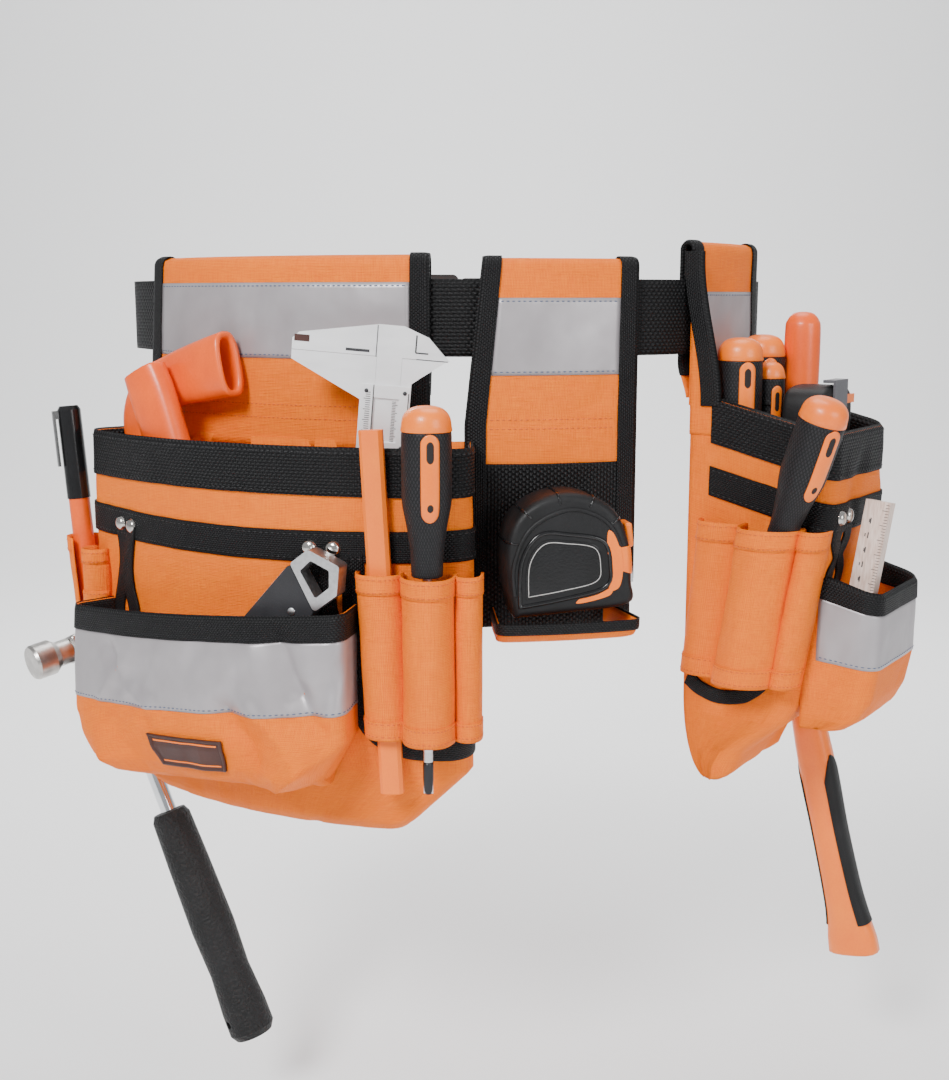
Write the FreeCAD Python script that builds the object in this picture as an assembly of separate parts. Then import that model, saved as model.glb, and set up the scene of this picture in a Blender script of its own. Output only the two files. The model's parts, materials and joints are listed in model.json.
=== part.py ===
import FreeCAD
import Part
import math
import os

# Work tool belt: a black webbing belt carrying three orange fabric pouches loaded with hand tools.
# Millimetres. +Z is up, -Y is the wearer's front, +X is to the right of a person facing the wearer.
# The origin is the centre of the waist loop at half the height of the belt.

Vector = FreeCAD.Vector
os.makedirs("parts", exist_ok=True)

# ---- driving dimensions ----
BELT_HEIGHT = 50.0          # belt webbing width
BELT_THICK = 3.0
WEB_THICK = 1.5             # thinner webbing and binding
FABRIC = 2.0                # coated pouch fabric with its lining
WIDE_WEB = 30.0             # webbing round a pocket mouth
NARROW_WEB = 20.0           # webbing that carries the rivets
BINDING = 12.5              # folded tape over a cut edge
REFLECTIVE = 50.0           # reflective strip width
SKIN = 0.5                  # thickness of a reflective strip

FRONT_AXIS = Vector(16, 140, 0)     # centre of the belt's front curve
FRONT_RADIUS = 280.0                # middle of the belt's thickness there
FRONT_START, FRONT_END = -62.0, 26.0
HIP_RADIUS = 300.0                  # curve over the hip that carries the side pouch
HIP_START, HIP_END = 43.0, 72.0
REAR_START, REAR_END = 160.0, 200.0
RIGHT_CORNER_RADIUS = 70.0          # between the front and the hip
BACK_CORNER_RADIUS = 75.0           # between the hip and the rear

TUNNEL_IN = 5.0             # belt middle to the inner layer of a pouch's belt tunnel
TUNNEL_OUT = 4.0            # belt middle to the front layer of the tunnel
SEAT = FRONT_RADIUS + TUNNEL_OUT + FABRIC       # radius at which a front bag meets its panel


# ---- small helpers ----

def direction(degrees):
    """Horizontal direction, counted from the wearer's front towards +X."""
    angle = math.radians(degrees)
    return Vector(math.sin(angle), -math.cos(angle), 0)


def polar(axis, radius, degrees, z=0.0):
    return axis + direction(degrees) * radius + Vector(0, 0, z)


def face_of(points):
    return Part.Face(Part.makePolygon(list(points) + [points[0]]))


def turned(axis, profile, start, end):
    """Turn a closed outline of (radius, z) about a vertical axis."""
    face = face_of([polar(axis, radius, start, z) for radius, z in profile])
    return face.revolve(axis, Vector(0, 0, 1), end - start)


def ring(axis, inner, outer, low, high, start, end):
    return turned(axis, [(inner, low), (outer, low), (outer, high), (inner, high)], start, end)


def lathe(profile):
    """Turn an outline of (radius, z) all the way round the Z axis."""
    points = [Vector(radius, 0, z) for radius, z in profile]
    return face_of(points).revolve(Vector(), Vector(0, 0, 1), 360)


def box(low, high):
    return Part.makeBox(high[0] - low[0], high[1] - low[1], high[2] - low[2], Vector(*low))


def plate(outline, thickness, corner=0.0):
    """A plate in the XZ plane, centred on y = 0, with its upright corners rounded."""
    solid = face_of([Vector(x, -thickness / 2, z) for x, z in outline]).extrude(Vector(0, thickness, 0))
    if corner:
        edges = [e for e in solid.Edges if abs(e.Vertexes[0].Y - e.Vertexes[-1].Y) > thickness / 2]
        solid = solid.makeFillet(corner, edges)
    return solid


def placed(shape, origin, up=Vector(0, 0, 1), front=Vector(0, -1, 0)):
    """Carry a shape drawn about the origin: its +Z runs along up, its -Y looks along front."""
    moved = shape.copy()
    turn = FreeCAD.Rotation(Vector(), front * -1, up, "ZYX")
    moved.Placement = FreeCAD.Placement(origin, turn).multiply(moved.Placement)
    return moved


def joined(shapes):
    whole = shapes[0]
    for shape in shapes[1:]:
        whole = whole.fuse(shape)
    return whole.removeSplitter()


def save(name, *shapes):
    shape = shapes[0] if len(shapes) == 1 else Part.makeCompound(list(shapes))
    shape.exportStep("parts/" + name + ".step")


# ---- the belt ----

def belt_arcs():
    """(centre, radius, start, end) of each tangent arc; the rear and left radii close the loop."""
    spans = [(FRONT_START, FRONT_END, FRONT_RADIUS), (FRONT_END, HIP_START, RIGHT_CORNER_RADIUS),
             (HIP_START, HIP_END, HIP_RADIUS), (HIP_END, REAR_START, BACK_CORNER_RADIUS)]
    gap = Vector()
    for start, end, radius in spans:
        gap = gap + (direction(end) - direction(start)) * radius
    rear = direction(REAR_END) - direction(REAR_START)
    left = direction(FRONT_START) - direction(REAR_END)
    scale = rear.x * left.y - rear.y * left.x
    rear_radius = (gap.y * left.x - gap.x * left.y) / scale
    left_radius = (gap.x * rear.y - gap.y * rear.x) / scale
    spans.append((REAR_START, REAR_END, rear_radius))
    spans.append((REAR_END, FRONT_START + 360.0, left_radius))
    arcs = []
    centre = FRONT_AXIS
    previous = FRONT_RADIUS
    for start, end, radius in spans:
        centre = centre + direction(start) * (previous - radius)
        arcs.append((centre, radius, start, end))
        previous = radius
    return arcs


ARCS = belt_arcs()
HIP_AXIS = ARCS[2][0]
REAR_AXIS, REAR_RADIUS = ARCS[4][0], ARCS[4][1]
BUCKLE_HALF = 7.0           # half the angle of rear arc that the buckle takes
BUCKLE_AT = 180.0


def belt_band(centre, radius, start, end):
    half = BELT_HEIGHT / 2
    return ring(centre, radius - BELT_THICK / 2, radius + BELT_THICK / 2, -half, half, start, end)


def make_belt():
    pieces = []
    for centre, radius, start, end in ARCS:
        if start == REAR_START:
            pieces.append(belt_band(centre, radius, start, BUCKLE_AT - BUCKLE_HALF))
            pieces.append(belt_band(centre, radius, BUCKLE_AT + BUCKLE_HALF, end))
        else:
            pieces.append(belt_band(centre, radius, start, end))
    save("belt_webbing", joined(pieces[5:] + pieces[:5]))


def make_buckle():
    """Side-release buckle behind the wearer: a hollow socket, a plug, and two sprung prongs."""
    half = math.radians(BUCKLE_HALF)
    reach = (REAR_RADIUS - BELT_THICK / 2) * math.sin(half) - 0.4
    middle_y = REAR_AXIS.y + REAR_RADIUS * math.cos(half)
    low, high = -32.0, 32.0
    mouth = 6.0
    socket = box((-reach + REAR_AXIS.x, -7, low), (mouth + REAR_AXIS.x, 7, high))
    socket = socket.makeFillet(5, [e for e in socket.Edges if e.Length == 14.0])
    hollow = box((-18 + REAR_AXIS.x, -4.6, -22), (mouth + 1 + REAR_AXIS.x, 4.6, 22))
    window = box((-18 + REAR_AXIS.x, -4.6, low - 1), (0 + REAR_AXIS.x, 4.6, high + 1))
    slot = box((-reach - 1 + REAR_AXIS.x, -2.2, -25.6), (-reach + 16 + REAR_AXIS.x, 2.2, 25.6))
    socket = socket.cut(hollow).cut(window).cut(slot)
    plug = box((mouth + 1 + REAR_AXIS.x, -7, low + 3), (reach + REAR_AXIS.x, 7, high - 3))
    plug = plug.makeFillet(5, [e for e in plug.Edges if e.Length == 14.0])
    plug = plug.cut(box((reach - 16 + REAR_AXIS.x, -2.2, -25.6), (reach + 1 + REAR_AXIS.x, 2.2, 25.6)))
    tongue = box((-16 + REAR_AXIS.x, -3, -4), (mouth + 1 + REAR_AXIS.x, 3, 4))
    plug = plug.fuse(tongue)
    root_x = mouth + 0.6 + REAR_AXIS.x
    arm = plate([(root_x, 12), (root_x - 18, 15), (root_x - 10, 25), (root_x - 14, 29),
                 (root_x - 20, 27), (root_x - 22, 12), (root_x - 16, 9), (root_x, 7)], 7)
    sweep = Vector(0, middle_y, 0)
    save("buckle_socket", socket.translated(sweep))
    save("buckle_plug", plug.translated(sweep))
    save("buckle_prong_top", arm.translated(sweep))
    save("buckle_prong_bottom", arm.mirror(Vector(), Vector(0, 0, 1)).translated(sweep))


# ---- panels that fold over the belt ----

def panel(axis, radius, start, end, top, bottom, seam):
    """Back panel with its top folded behind the belt and sewn down at the seam."""
    back, front = radius - TUNNEL_IN, radius + TUNNEL_OUT
    outline = [(back, seam - 8), (front, seam - 8), (front, bottom), (front + FABRIC, bottom),
               (front + FABRIC, top), (back, top)]
    tunnel = ring(axis, back + FABRIC, front, seam, top - FABRIC, start - 1, end + 1)
    return turned(axis, outline, start, end).cut(tunnel)


def side_bindings(axis, radius, start, end, top, bottom):
    """Binding tape over both upright edges of a panel's front layer."""
    inner = radius + TUNNEL_OUT + FABRIC
    width = math.degrees(BINDING / inner)
    left = ring(axis, inner, inner + WEB_THICK, bottom, top, start, start + width)
    right = ring(axis, inner, inner + WEB_THICK, bottom, top, end - width, end)
    return left, right


def reflector(axis, radius, start, end, low, high):
    inner = radius + TUNNEL_OUT + FABRIC
    width = math.degrees(BINDING / inner) + 0.02
    return ring(axis, inner, inner + SKIN, low, high, start + width, end - width)


# ---- large pouch ----
LARGE_START, LARGE_END = -53.0, -5.0         # panel edges at the belt
BAG_START, BAG_END = -53.2, 0.5              # the bag is wider than its panel
LARGE_TOP, LARGE_SEAM = 40.0, -62.0
RIM, KNEE, FLOOR = -80.0, -270.0, -340.0     # mouth, start of the taper, lowest edge
BAG_FRONT, BAG_TOE = 338.0, 318.0            # front wall above the knee, and at the floor
BAG_CORNER = 14.0
MIDDLE = -26.0                               # direction that the large pouch faces


def corner_cutter(grow):
    """Front outline of the large pouch: both lower corners are cut away."""
    across = direction(MIDDLE + 90)
    floor = FLOOR - grow
    outline = [(-190, 60), (-190, -262 - grow), (-146 - grow, -262 - grow), (-108 - grow, floor),
               (98 + grow, floor), (146 + grow, -291 - grow), (190, -289), (190, 60)]
    points = [FRONT_AXIS + across * s + Vector(0, 0, z) for s, z in outline]
    return face_of(points).extrude(direction(MIDDLE) * 420)


def large_bag(grow, top):
    """Solid outer form of the large bag, grown by some millimetres."""
    spread = math.degrees(grow / BAG_FRONT)
    front = BAG_FRONT + grow
    plan = ring(FRONT_AXIS, SEAT, front, FLOOR - 20, top, BAG_START - spread, BAG_END + spread)
    corners = [e for e in plan.Edges if e.Length > top - FLOOR and
               (e.CenterOfMass - FRONT_AXIS - Vector(0, 0, e.CenterOfMass.z)).Length > front - 1]
    plan = plan.makeFillet(BAG_CORNER + grow, corners)
    profile = [(SEAT - 1, FLOOR - grow), (BAG_TOE + grow, FLOOR - grow), (front + 0.01, KNEE),
               (front + 0.01, top + 1), (SEAT - 1, top + 1)]
    form = plan.common(turned(FRONT_AXIS, profile, BAG_START - 3, BAG_END + 3))
    return form.common(corner_cutter(grow))


def large_band(low, high, grow):
    slab = ring(FRONT_AXIS, 250, 400, low, high, BAG_START - 5, BAG_END + 5)
    return large_bag(grow, RIM).cut(large_bag(0, RIM)).common(slab)


POCKET_START, POCKET_END = -48.0, -12.0      # front pocket
POCKET_FRONT = 374.0
POCKET_RIM, POCKET_FLOOR = -188.0, -300.0
POCKET_WEB = 17.0


def front_pocket(grow, top):
    """Bellows pocket: straight sides, a belly, and a floor that slopes back to the bag."""
    spread = math.degrees(grow / POCKET_FRONT)
    front = POCKET_FRONT + grow
    profile = [(BAG_FRONT, POCKET_FLOOR - grow), (front - 16, POCKET_FLOOR - grow), (front, -272),
               (front - 4, top), (BAG_FRONT, top)]
    form = turned(FRONT_AXIS, profile, POCKET_START - spread, POCKET_END + spread)
    upright = [e for e in form.Edges if abs(e.Vertexes[0].Z - e.Vertexes[-1].Z) > 60 and
               (e.CenterOfMass - FRONT_AXIS - Vector(0, 0, e.CenterOfMass.z)).Length > BAG_FRONT + 10]
    return form.makeFillet(9, upright)


def make_large_pouch():
    body = panel(FRONT_AXIS, FRONT_RADIUS, LARGE_START, LARGE_END, LARGE_TOP, RIM, LARGE_SEAM)
    back = ring(FRONT_AXIS, SEAT - FABRIC, SEAT, FLOOR, RIM, BAG_START, BAG_END)
    save("large_pouch_panel", joined([body, back.common(corner_cutter(0))]))
    bindings = side_bindings(FRONT_AXIS, FRONT_RADIUS, LARGE_START, LARGE_END, LARGE_TOP, RIM + 1)
    strip = reflector(FRONT_AXIS, FRONT_RADIUS, LARGE_START, LARGE_END, -27, -27 + REFLECTIVE)
    cover = front_pocket(SKIN, POCKET_RIM).cut(front_pocket(0, POCKET_RIM))
    lower = ring(FRONT_AXIS, 345, 400, -253, POCKET_RIM - POCKET_WEB - 0.1, -50, -10)
    save("large_pouch_reflectors", strip, cover.common(lower))
    bag = large_bag(0, RIM).cut(large_bag(-FABRIC, RIM + 1))
    save("large_pouch_bag", bag)
    mouth = large_band(RIM - WIDE_WEB, RIM, WEB_THICK)
    middle = large_band(-151, -151 + NARROW_WEB, WEB_THICK)
    hangers = [ring(FRONT_AXIS, BAG_FRONT, BAG_FRONT + WEB_THICK, POCKET_RIM + 0.1, -151.1, a, a + 3.4)
               for a in (-46.5, -17.6)]
    save("large_pouch_webbing", mouth, middle, *hangers)
    pocket = front_pocket(0, POCKET_RIM).cut(front_pocket(-FABRIC, POCKET_RIM + 1))
    save("large_pouch_front_pocket", pocket)
    edge = front_pocket(WEB_THICK, POCKET_RIM).cut(front_pocket(0, POCKET_RIM))
    slab = ring(FRONT_AXIS, BAG_FRONT + 1, 400, POCKET_RIM - POCKET_WEB, POCKET_RIM, -50, -10)
    save("large_pouch_binding", edge.common(slab), *bindings)


def rivet(axis, radius, degrees, z):
    """Domed cap rivet standing on a surface at this radius."""
    cap = Part.makeSphere(6.5).common(Part.makeCylinder(5, 8, Vector(0, 0, 3.4)))
    cap = cap.translated(Vector(0, 0, -3.4))
    return placed(cap, polar(axis, radius, degrees, z), direction(degrees), Vector(0, 0, 1))


def make_large_rivets():
    surface = BAG_FRONT + WEB_THICK
    save("large_pouch_rivets",
         *[rivet(FRONT_AXIS, surface, angle, -141) for angle in (-45.8, -43.3, -17.2, -14.4)])


def make_badge():
    """Rubber label with a raised rim, blank."""
    outline = [(-26, -8), (24, -8), (26, 8), (-24, 8)]
    badge = plate(outline, 2.4, 1.5).cut(plate([(-23, -5.6), (21.5, -5.6), (23, 5.6), (-21.5, 5.6)], 1.0)
                                         .translated(Vector(0, -1.2, 0)))
    facing = direction(-33)
    save("large_pouch_badge", placed(badge, polar(FRONT_AXIS, POCKET_FRONT + 1.3, -33, -265),
                                     Vector(0, 0, 1), facing))


# ---- fabric tubes for long tools ----
TUBE_WALL = 1.6


def arch(half, deep, back):
    """Plan of a tube: straight sides and a round front that looks along -Y."""
    shoulder = -deep * 0.45
    a, b = Vector(-half, back, 0), Vector(-half, shoulder, 0)
    c, d = Vector(half, shoulder, 0), Vector(half, back, 0)
    edges = [Part.LineSegment(a, b).toShape(), Part.Arc(b, Vector(0, -deep, 0), c).toShape(),
             Part.LineSegment(c, d).toShape(), Part.LineSegment(d, a).toShape()]
    return Part.Face(Part.Wire(edges))


def tube(foot, head, facing, wide, deep):
    """Fabric tube, open at both ends, along the line from foot to head."""
    length = foot.distanceToPoint(head)
    solid = arch(wide / 2, deep, 6).extrude(Vector(0, 0, length))
    bore = arch(wide / 2 - TUBE_WALL, deep - TUBE_WALL, 7).extrude(Vector(0, 0, length + 2))
    solid = solid.cut(bore.translated(Vector(0, 0, -1)))
    up = (head - foot) * (1 / length)
    return placed(solid, foot, up, facing)


PENCIL_FOOT = polar(FRONT_AXIS, 346.5, -7.9, -300)
PENCIL_HEAD = polar(FRONT_AXIS, 346.5, -9.8, -67)
DRIVER_AXIS = polar(FRONT_AXIS, 356.5, -3.9, 0)      # the driver stands upright here


def on_line(start, end, z):
    return start + (end - start) * ((z - start.z) / (end.z - start.z))


def make_front_tubes():
    """Three tubes on the right of the large pouch: pencil, driver and an empty one."""
    surface = BAG_FRONT
    facing = direction(-8.8)
    pencil = tube(on_line(PENCIL_FOOT, PENCIL_HEAD, -265) - facing * 8.5,
                  on_line(PENCIL_FOOT, PENCIL_HEAD, -157) - facing * 8.5, facing, 29, 19)
    facing = direction(-3.9)
    driver = tube(DRIVER_AXIS + Vector(0, 0, -262) - facing * 18.5,
                  DRIVER_AXIS + Vector(0, 0, -157) - facing * 18.5, facing, 33, 32)
    facing = direction(0.2)
    spare = tube(polar(FRONT_AXIS, surface, 0.2, -256), polar(FRONT_AXIS, surface, 0.2, -142), facing, 17, 21)
    gap = large_bag(0, RIM).fuse(large_band(-151, -131, WEB_THICK))
    save("large_pouch_front_tubes", joined([pencil.cut(gap), driver.cut(gap), spare.cut(gap)]))


MARKER_FOOT = Vector(-256.5, -60.5, -244)
MARKER_HEAD = Vector(-263.5, -56.5, -158)
GUSSET_FACING = direction(BAG_START - 90)


def make_side_tubes():
    """Two tubes round the left corner of the large pouch: marker, and a short empty one."""
    gap = large_bag(0, RIM)
    lift = GUSSET_FACING * -6
    marker = tube(MARKER_FOOT + lift, MARKER_HEAD + lift, GUSSET_FACING, 24, 17.6)
    facing = direction(-50)
    spare = tube(polar(FRONT_AXIS, BAG_FRONT - 1, -50.3, -203), polar(FRONT_AXIS, BAG_FRONT - 1, -50.3, -163),
                 facing, 18, 16)
    save("large_pouch_side_tubes", marker.cut(gap), spare.cut(gap))


def webbing_loop(root, out, along, width, reach, height):
    """Hammer loop: a U of webbing that stands out from its root."""
    outline = [(-width / 2, 0), (width / 2, 0), (width / 2, reach), (-width / 2, reach)]
    points = [root + along * a + out * b for a, b in outline]
    solid = face_of(points).extrude(Vector(0, 0, height))
    upright = [e for e in solid.Edges if abs(e.Length - height) < 0.01]
    far = [e for e in upright if (e.CenterOfMass - root).dot(out) > reach / 2]
    solid = solid.makeFillet(12, far)
    inner = [(-width / 2 + WEB_THICK, -1), (width / 2 - WEB_THICK, -1),
             (width / 2 - WEB_THICK, reach - WEB_THICK), (-width / 2 + WEB_THICK, reach - WEB_THICK)]
    points = [root + along * a + out * b for a, b in inner]
    bore = face_of(points).extrude(Vector(0, 0, height))
    far = [e for e in bore.Edges if abs(e.Length - height) < 0.01 and
           (e.CenterOfMass - root).dot(out) > reach / 2]
    return solid.cut(bore.makeFillet(10.5, far))


CLAW_CENTRE = Vector(-262.6, -24.2, -243)                # head of the left hammer
CLAW_DOWN = Vector(0.36, -0.17, -0.917).normalize()
SLEDGE_CENTRE = Vector(258.0, 0.2, -200)             # head of the right hammer
SLEDGE_DOWN = Vector(0.2, -0.13, -0.971).normalize()


def make_left_loop():
    root = polar(FRONT_AXIS, 315, BAG_START, -286)
    save("large_pouch_hammer_loop", webbing_loop(root, GUSSET_FACING, direction(BAG_START), 48, 50, 22))


# ---- tape holder ----
HOLDER_START, HOLDER_END = 1.9, 23.2
HOLDER_TOP, HOLDER_SEAM, HOLDER_FLOOR = 38.0, -54.0, -205.0
HOLDER_POCKET_START, HOLDER_POCKET_END = 2.6, 20.0
HOLDER_POCKET_FRONT = 345.0
HOLDER_RIM = -178.0


def holder_pocket(grow, top):
    spread = math.degrees(grow / HOLDER_POCKET_FRONT)
    front = HOLDER_POCKET_FRONT + grow
    profile = [(SEAT, HOLDER_FLOOR - grow), (front - 8, HOLDER_FLOOR - grow), (front, -185), (front, top),
               (SEAT, top)]
    return turned(FRONT_AXIS, profile, HOLDER_POCKET_START - spread, HOLDER_POCKET_END + spread)


def make_tape_holder():
    save("tape_holder_panel", panel(FRONT_AXIS, FRONT_RADIUS, HOLDER_START, HOLDER_END, HOLDER_TOP,
                                    HOLDER_FLOOR, HOLDER_SEAM))
    bindings = side_bindings(FRONT_AXIS, FRONT_RADIUS, HOLDER_START, HOLDER_END, HOLDER_TOP, -96)
    width = math.degrees(BINDING / SEAT)
    wide = ring(FRONT_AXIS, SEAT, SEAT + WEB_THICK, HOLDER_RIM + 0.2, -96.2, HOLDER_START, HOLDER_END)
    save("tape_holder_webbing", *bindings, wide)
    save("tape_holder_reflector",
         ring(FRONT_AXIS, SEAT, SEAT + SKIN, -37, 13, HOLDER_START + width + 0.02, HOLDER_END - width - 0.02))
    save("tape_holder_pocket", holder_pocket(0, HOLDER_RIM).cut(holder_pocket(-FABRIC, HOLDER_RIM + 1)))


# ---- side pouch ----
SIDE_MIDDLE = 55.5
SIDE_HALF = 52.0                                  # half the pouch's width
SIDE_TOP, SIDE_SEAM, SIDE_FLOOR = 50.0, -45.0, -326.0
HALF_ANGLE = math.degrees(math.asin(SIDE_HALF / (HIP_RADIUS + TUNNEL_OUT)))
OUT = direction(SIDE_MIDDLE)                      # away from the hip
ALONG = direction(SIDE_MIDDLE + 90)               # along the belt, away from the front
HIP_FACE = HIP_AXIS + OUT * HIP_RADIUS            # middle of the belt behind this pouch
SIDE_SEAT = TUNNEL_OUT + FABRIC


def at_hip(along, out, z=0.0):
    return HIP_FACE + ALONG * along + OUT * out + Vector(0, 0, z)


def side_prism(profile, half):
    """Push a side outline of (out, z) across the pouch."""
    face = face_of([at_hip(-half, out, z) for out, z in profile])
    return face.extrude(ALONG * (2 * half))


def side_bag(grow, lift=0.0, drop=0.0, tall=True):
    """Outer form of the side bag; lift and drop move its sloping mouth up and down."""
    front = 104 + grow
    high, low = -50.0 + lift, -76.0 + lift
    floor = -grow
    outline = [(-2, SIDE_FLOOR + floor), (14, SIDE_FLOOR + floor), (84 + grow, -268 + floor * 0.7),
               (front, -140), (front, low), (-2, high)]
    if not tall:
        outline = [(-2, high - drop), (front + 1, low - drop - 0.3), (front + 1, low - 0.3), (-2, high)]
        return side_prism(outline, SIDE_HALF + 5)
    form = side_prism(outline, SIDE_HALF + grow)
    corners = [e for e in form.Edges if abs(e.Vertexes[0].Z - e.Vertexes[-1].Z) > 40 and
               (e.CenterOfMass - HIP_FACE).dot(OUT) > 70]
    form = form.makeFillet(12 + grow, corners)
    core = Part.makeCylinder(HIP_RADIUS + SIDE_SEAT, 500, HIP_AXIS - Vector(0, 0, 400))
    return form.cut(core)


def side_band(offset, height, grow):
    """Webbing round the side bag, parallel to its mouth."""
    return side_bag(grow).cut(side_bag(0, 5)).common(side_bag(0, -offset, height, False))


def small_pocket(grow, top_shift=0.0):
    outline = [(80, -268 - grow), (121 + grow, -270 - grow), (136 + grow, -225), (136 + grow, -182 + top_shift),
               (100, -172 + top_shift)]
    form = side_prism(outline, 44 + grow)
    corners = [e for e in form.Edges if abs(e.Vertexes[0].Z - e.Vertexes[-1].Z) > 30 and
               (e.CenterOfMass - HIP_FACE).dot(OUT) > 120]
    return form.makeFillet(9 + grow, corners).cut(side_bag(0))


def make_side_pouch():
    start, end = SIDE_MIDDLE - HALF_ANGLE, SIDE_MIDDLE + HALF_ANGLE
    save("side_pouch_panel", panel(HIP_AXIS, HIP_RADIUS, start, end, SIDE_TOP, SIDE_FLOOR, SIDE_SEAM))
    bindings = side_bindings(HIP_AXIS, HIP_RADIUS, start, end, SIDE_TOP, -48)
    save("side_pouch_bag", side_bag(0).cut(side_bag(-FABRIC, 2.5)))
    save("side_pouch_webbing", side_band(0, WIDE_WEB, WEB_THICK), side_band(46, NARROW_WEB, WEB_THICK))
    strip = reflector(HIP_AXIS, HIP_RADIUS, start, end, -33, 17)
    wrap = small_pocket(SKIN).cut(small_pocket(0, 5)).cut(side_bag(0))
    slab = side_prism([(105, -250), (150, -250), (150, -200.8), (105, -191.3)], 60)
    save("side_pouch_reflectors", strip, wrap.common(slab))
    save("small_pocket", small_pocket(0).cut(small_pocket(-FABRIC, 2)))
    trim = small_pocket(WEB_THICK).cut(small_pocket(0, 5)).cut(side_bag(0))
    slab = side_prism([(105, -191), (150, -200.5), (150, -180), (105, -170)], 60)
    save("side_pouch_binding", trim.common(slab), *bindings)
    wall = 104 + WEB_THICK
    caps = [rivet(at_hip(along, wall) - OUT * 400, 400, SIDE_MIDDLE, -132) for along in (-36, -20)]
    save("side_pouch_rivets", *caps)


SIDE_DRIVER_FOOT = at_hip(-62, 42, -246)
SIDE_DRIVER_HEAD = at_hip(-72.5, 108, -50)


def make_gusset_tubes():
    """Three tubes on the side of the pouch that looks forward."""
    gap = side_bag(0).fuse(side_band(46, NARROW_WEB, WEB_THICK))
    facing = ALONG * -1
    wall = -SIDE_HALF
    near = tube(at_hip(wall, 21, -250), at_hip(wall, 32, -137), facing, 28, 15)
    middle = tube(at_hip(wall, 52, -246), at_hip(wall, 70, -136), facing, 46, 32)
    far = tube(at_hip(wall, 80, -236), at_hip(wall, 95, -139), facing, 15, 15)
    save("side_pouch_gusset_tubes", joined([near.cut(gap), middle.cut(gap), far.cut(gap)]))


def make_right_loop():
    root = at_hip(SIDE_HALF, 27.5, -250)
    save("side_pouch_hammer_loop", webbing_loop(root, ALONG, OUT, 43, 47, 24))


# ---- hand tools ----

def driver_handle(length, radius):
    """Fat handle with a domed end, a waist and a collar; its top is at z = 0."""
    neck = radius * 0.62
    return lathe([(0, -length), (neck, -length), (neck * 1.05, -length + 14), (neck * 1.3, -length + 32),
                  (radius, -length + 46), (radius, -16), (radius * 0.93, -8), (radius * 0.72, -2.5),
                  (radius * 0.3, 0), (0, 0)])


def driver_blade(length, shaft, handle):
    """Round shaft with a flat tip, seated in the handle's collar."""
    blade = Part.makeCylinder(shaft, length, Vector(0, 0, -handle - length))
    tip = box((-9, 0.6, -handle - length), (9, 9, -handle - length + 8))
    return blade.cut(tip).cut(tip.mirror(Vector(), Vector(0, 1, 0)))


def driver(head, up, handle, radius, length, shaft, facing):
    """Handle and blade of a screwdriver whose domed end is at head."""
    grip = placed(driver_handle(handle, radius), head, up, facing)
    blade = placed(driver_blade(length, shaft, handle), head, up, facing)
    return grip, blade


def make_drivers():
    upright = Vector(0, 0, 1)
    lean = (SIDE_DRIVER_HEAD - SIDE_DRIVER_FOOT).normalize()
    hip_facing = Vector(0.2, -1, 0)
    front_top = DRIVER_AXIS + Vector(0, 0, -51)
    pairs = {"front_driver": driver(front_top, upright, 105, 15.5, 140, 3.0, direction(-4)),
             "side_driver": driver(SIDE_DRIVER_HEAD, lean, 100, 15.5, 104, 3.0, Vector(0.3, -0.95, 0)),
             "long_driver": driver(at_hip(-31.5, 28, -14), upright, 112, 15.5, 110, 3.5, hip_facing),
             "rear_driver": driver(at_hip(17, 24, -13), upright, 112, 15.5, 90, 3.5, hip_facing)}
    for name, (grip, blade) in pairs.items():
        save(name + "_handle", grip)
        save(name + "_blade", blade)
    save("small_driver", *driver(at_hip(-8, 40.5, -31), upright, 84, 10.5, 80, 2.5, hip_facing))


def make_file_handle():
    """Smooth round-topped handle with its file blade."""
    wood = lathe([(0, -118), (8, -118), (9, -100), (12.4, -70), (12.6, -14), (10.5, -5), (6, -1), (0, 0)])
    head = at_hip(36.8, 45.5, 3)
    save("round_file", placed(wood, head), placed(box((-6, -2, -228), (6, 2, -118)), head))


def make_pencil():
    """Flat carpenter's pencil."""
    length = PENCIL_FOOT.distanceToPoint(PENCIL_HEAD)
    blank = Part.makeBox(15, 8, length, Vector(-7.5, -4, 0))
    blank = blank.makeChamfer(2.2, [e for e in blank.Edges if abs(e.Length - length) < 0.01])
    up = (PENCIL_HEAD - PENCIL_FOOT) * (1 / length)
    save("carpenter_pencil", placed(blank, PENCIL_FOOT, up, direction(-8.8)))


def make_marker():
    """Barrel in its tube and a long cap with a clip."""
    up = (MARKER_HEAD - MARKER_FOOT).normalize()
    foot = MARKER_FOOT + up * 10 + GUSSET_FACING * 1.6
    barrel = lathe([(0, 0), (6.5, 0), (7.5, 3), (7.5, 104), (5.5, 104), (5.5, 118), (0, 118)])
    cap = lathe([(5.8, 104.2), (8.3, 104.2), (8.3, 168), (6.5, 171), (0, 171), (0, 122), (5.8, 122)])
    clip = box((-2, -12, 128), (2, -10.4, 168)).fuse(box((-2, -10.4, 162), (2, -7, 168)))
    save("marker_barrel", placed(barrel, foot, up, direction(-60)))
    save("marker_cap", placed(cap.fuse(clip), foot, up, direction(-60)))


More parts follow.
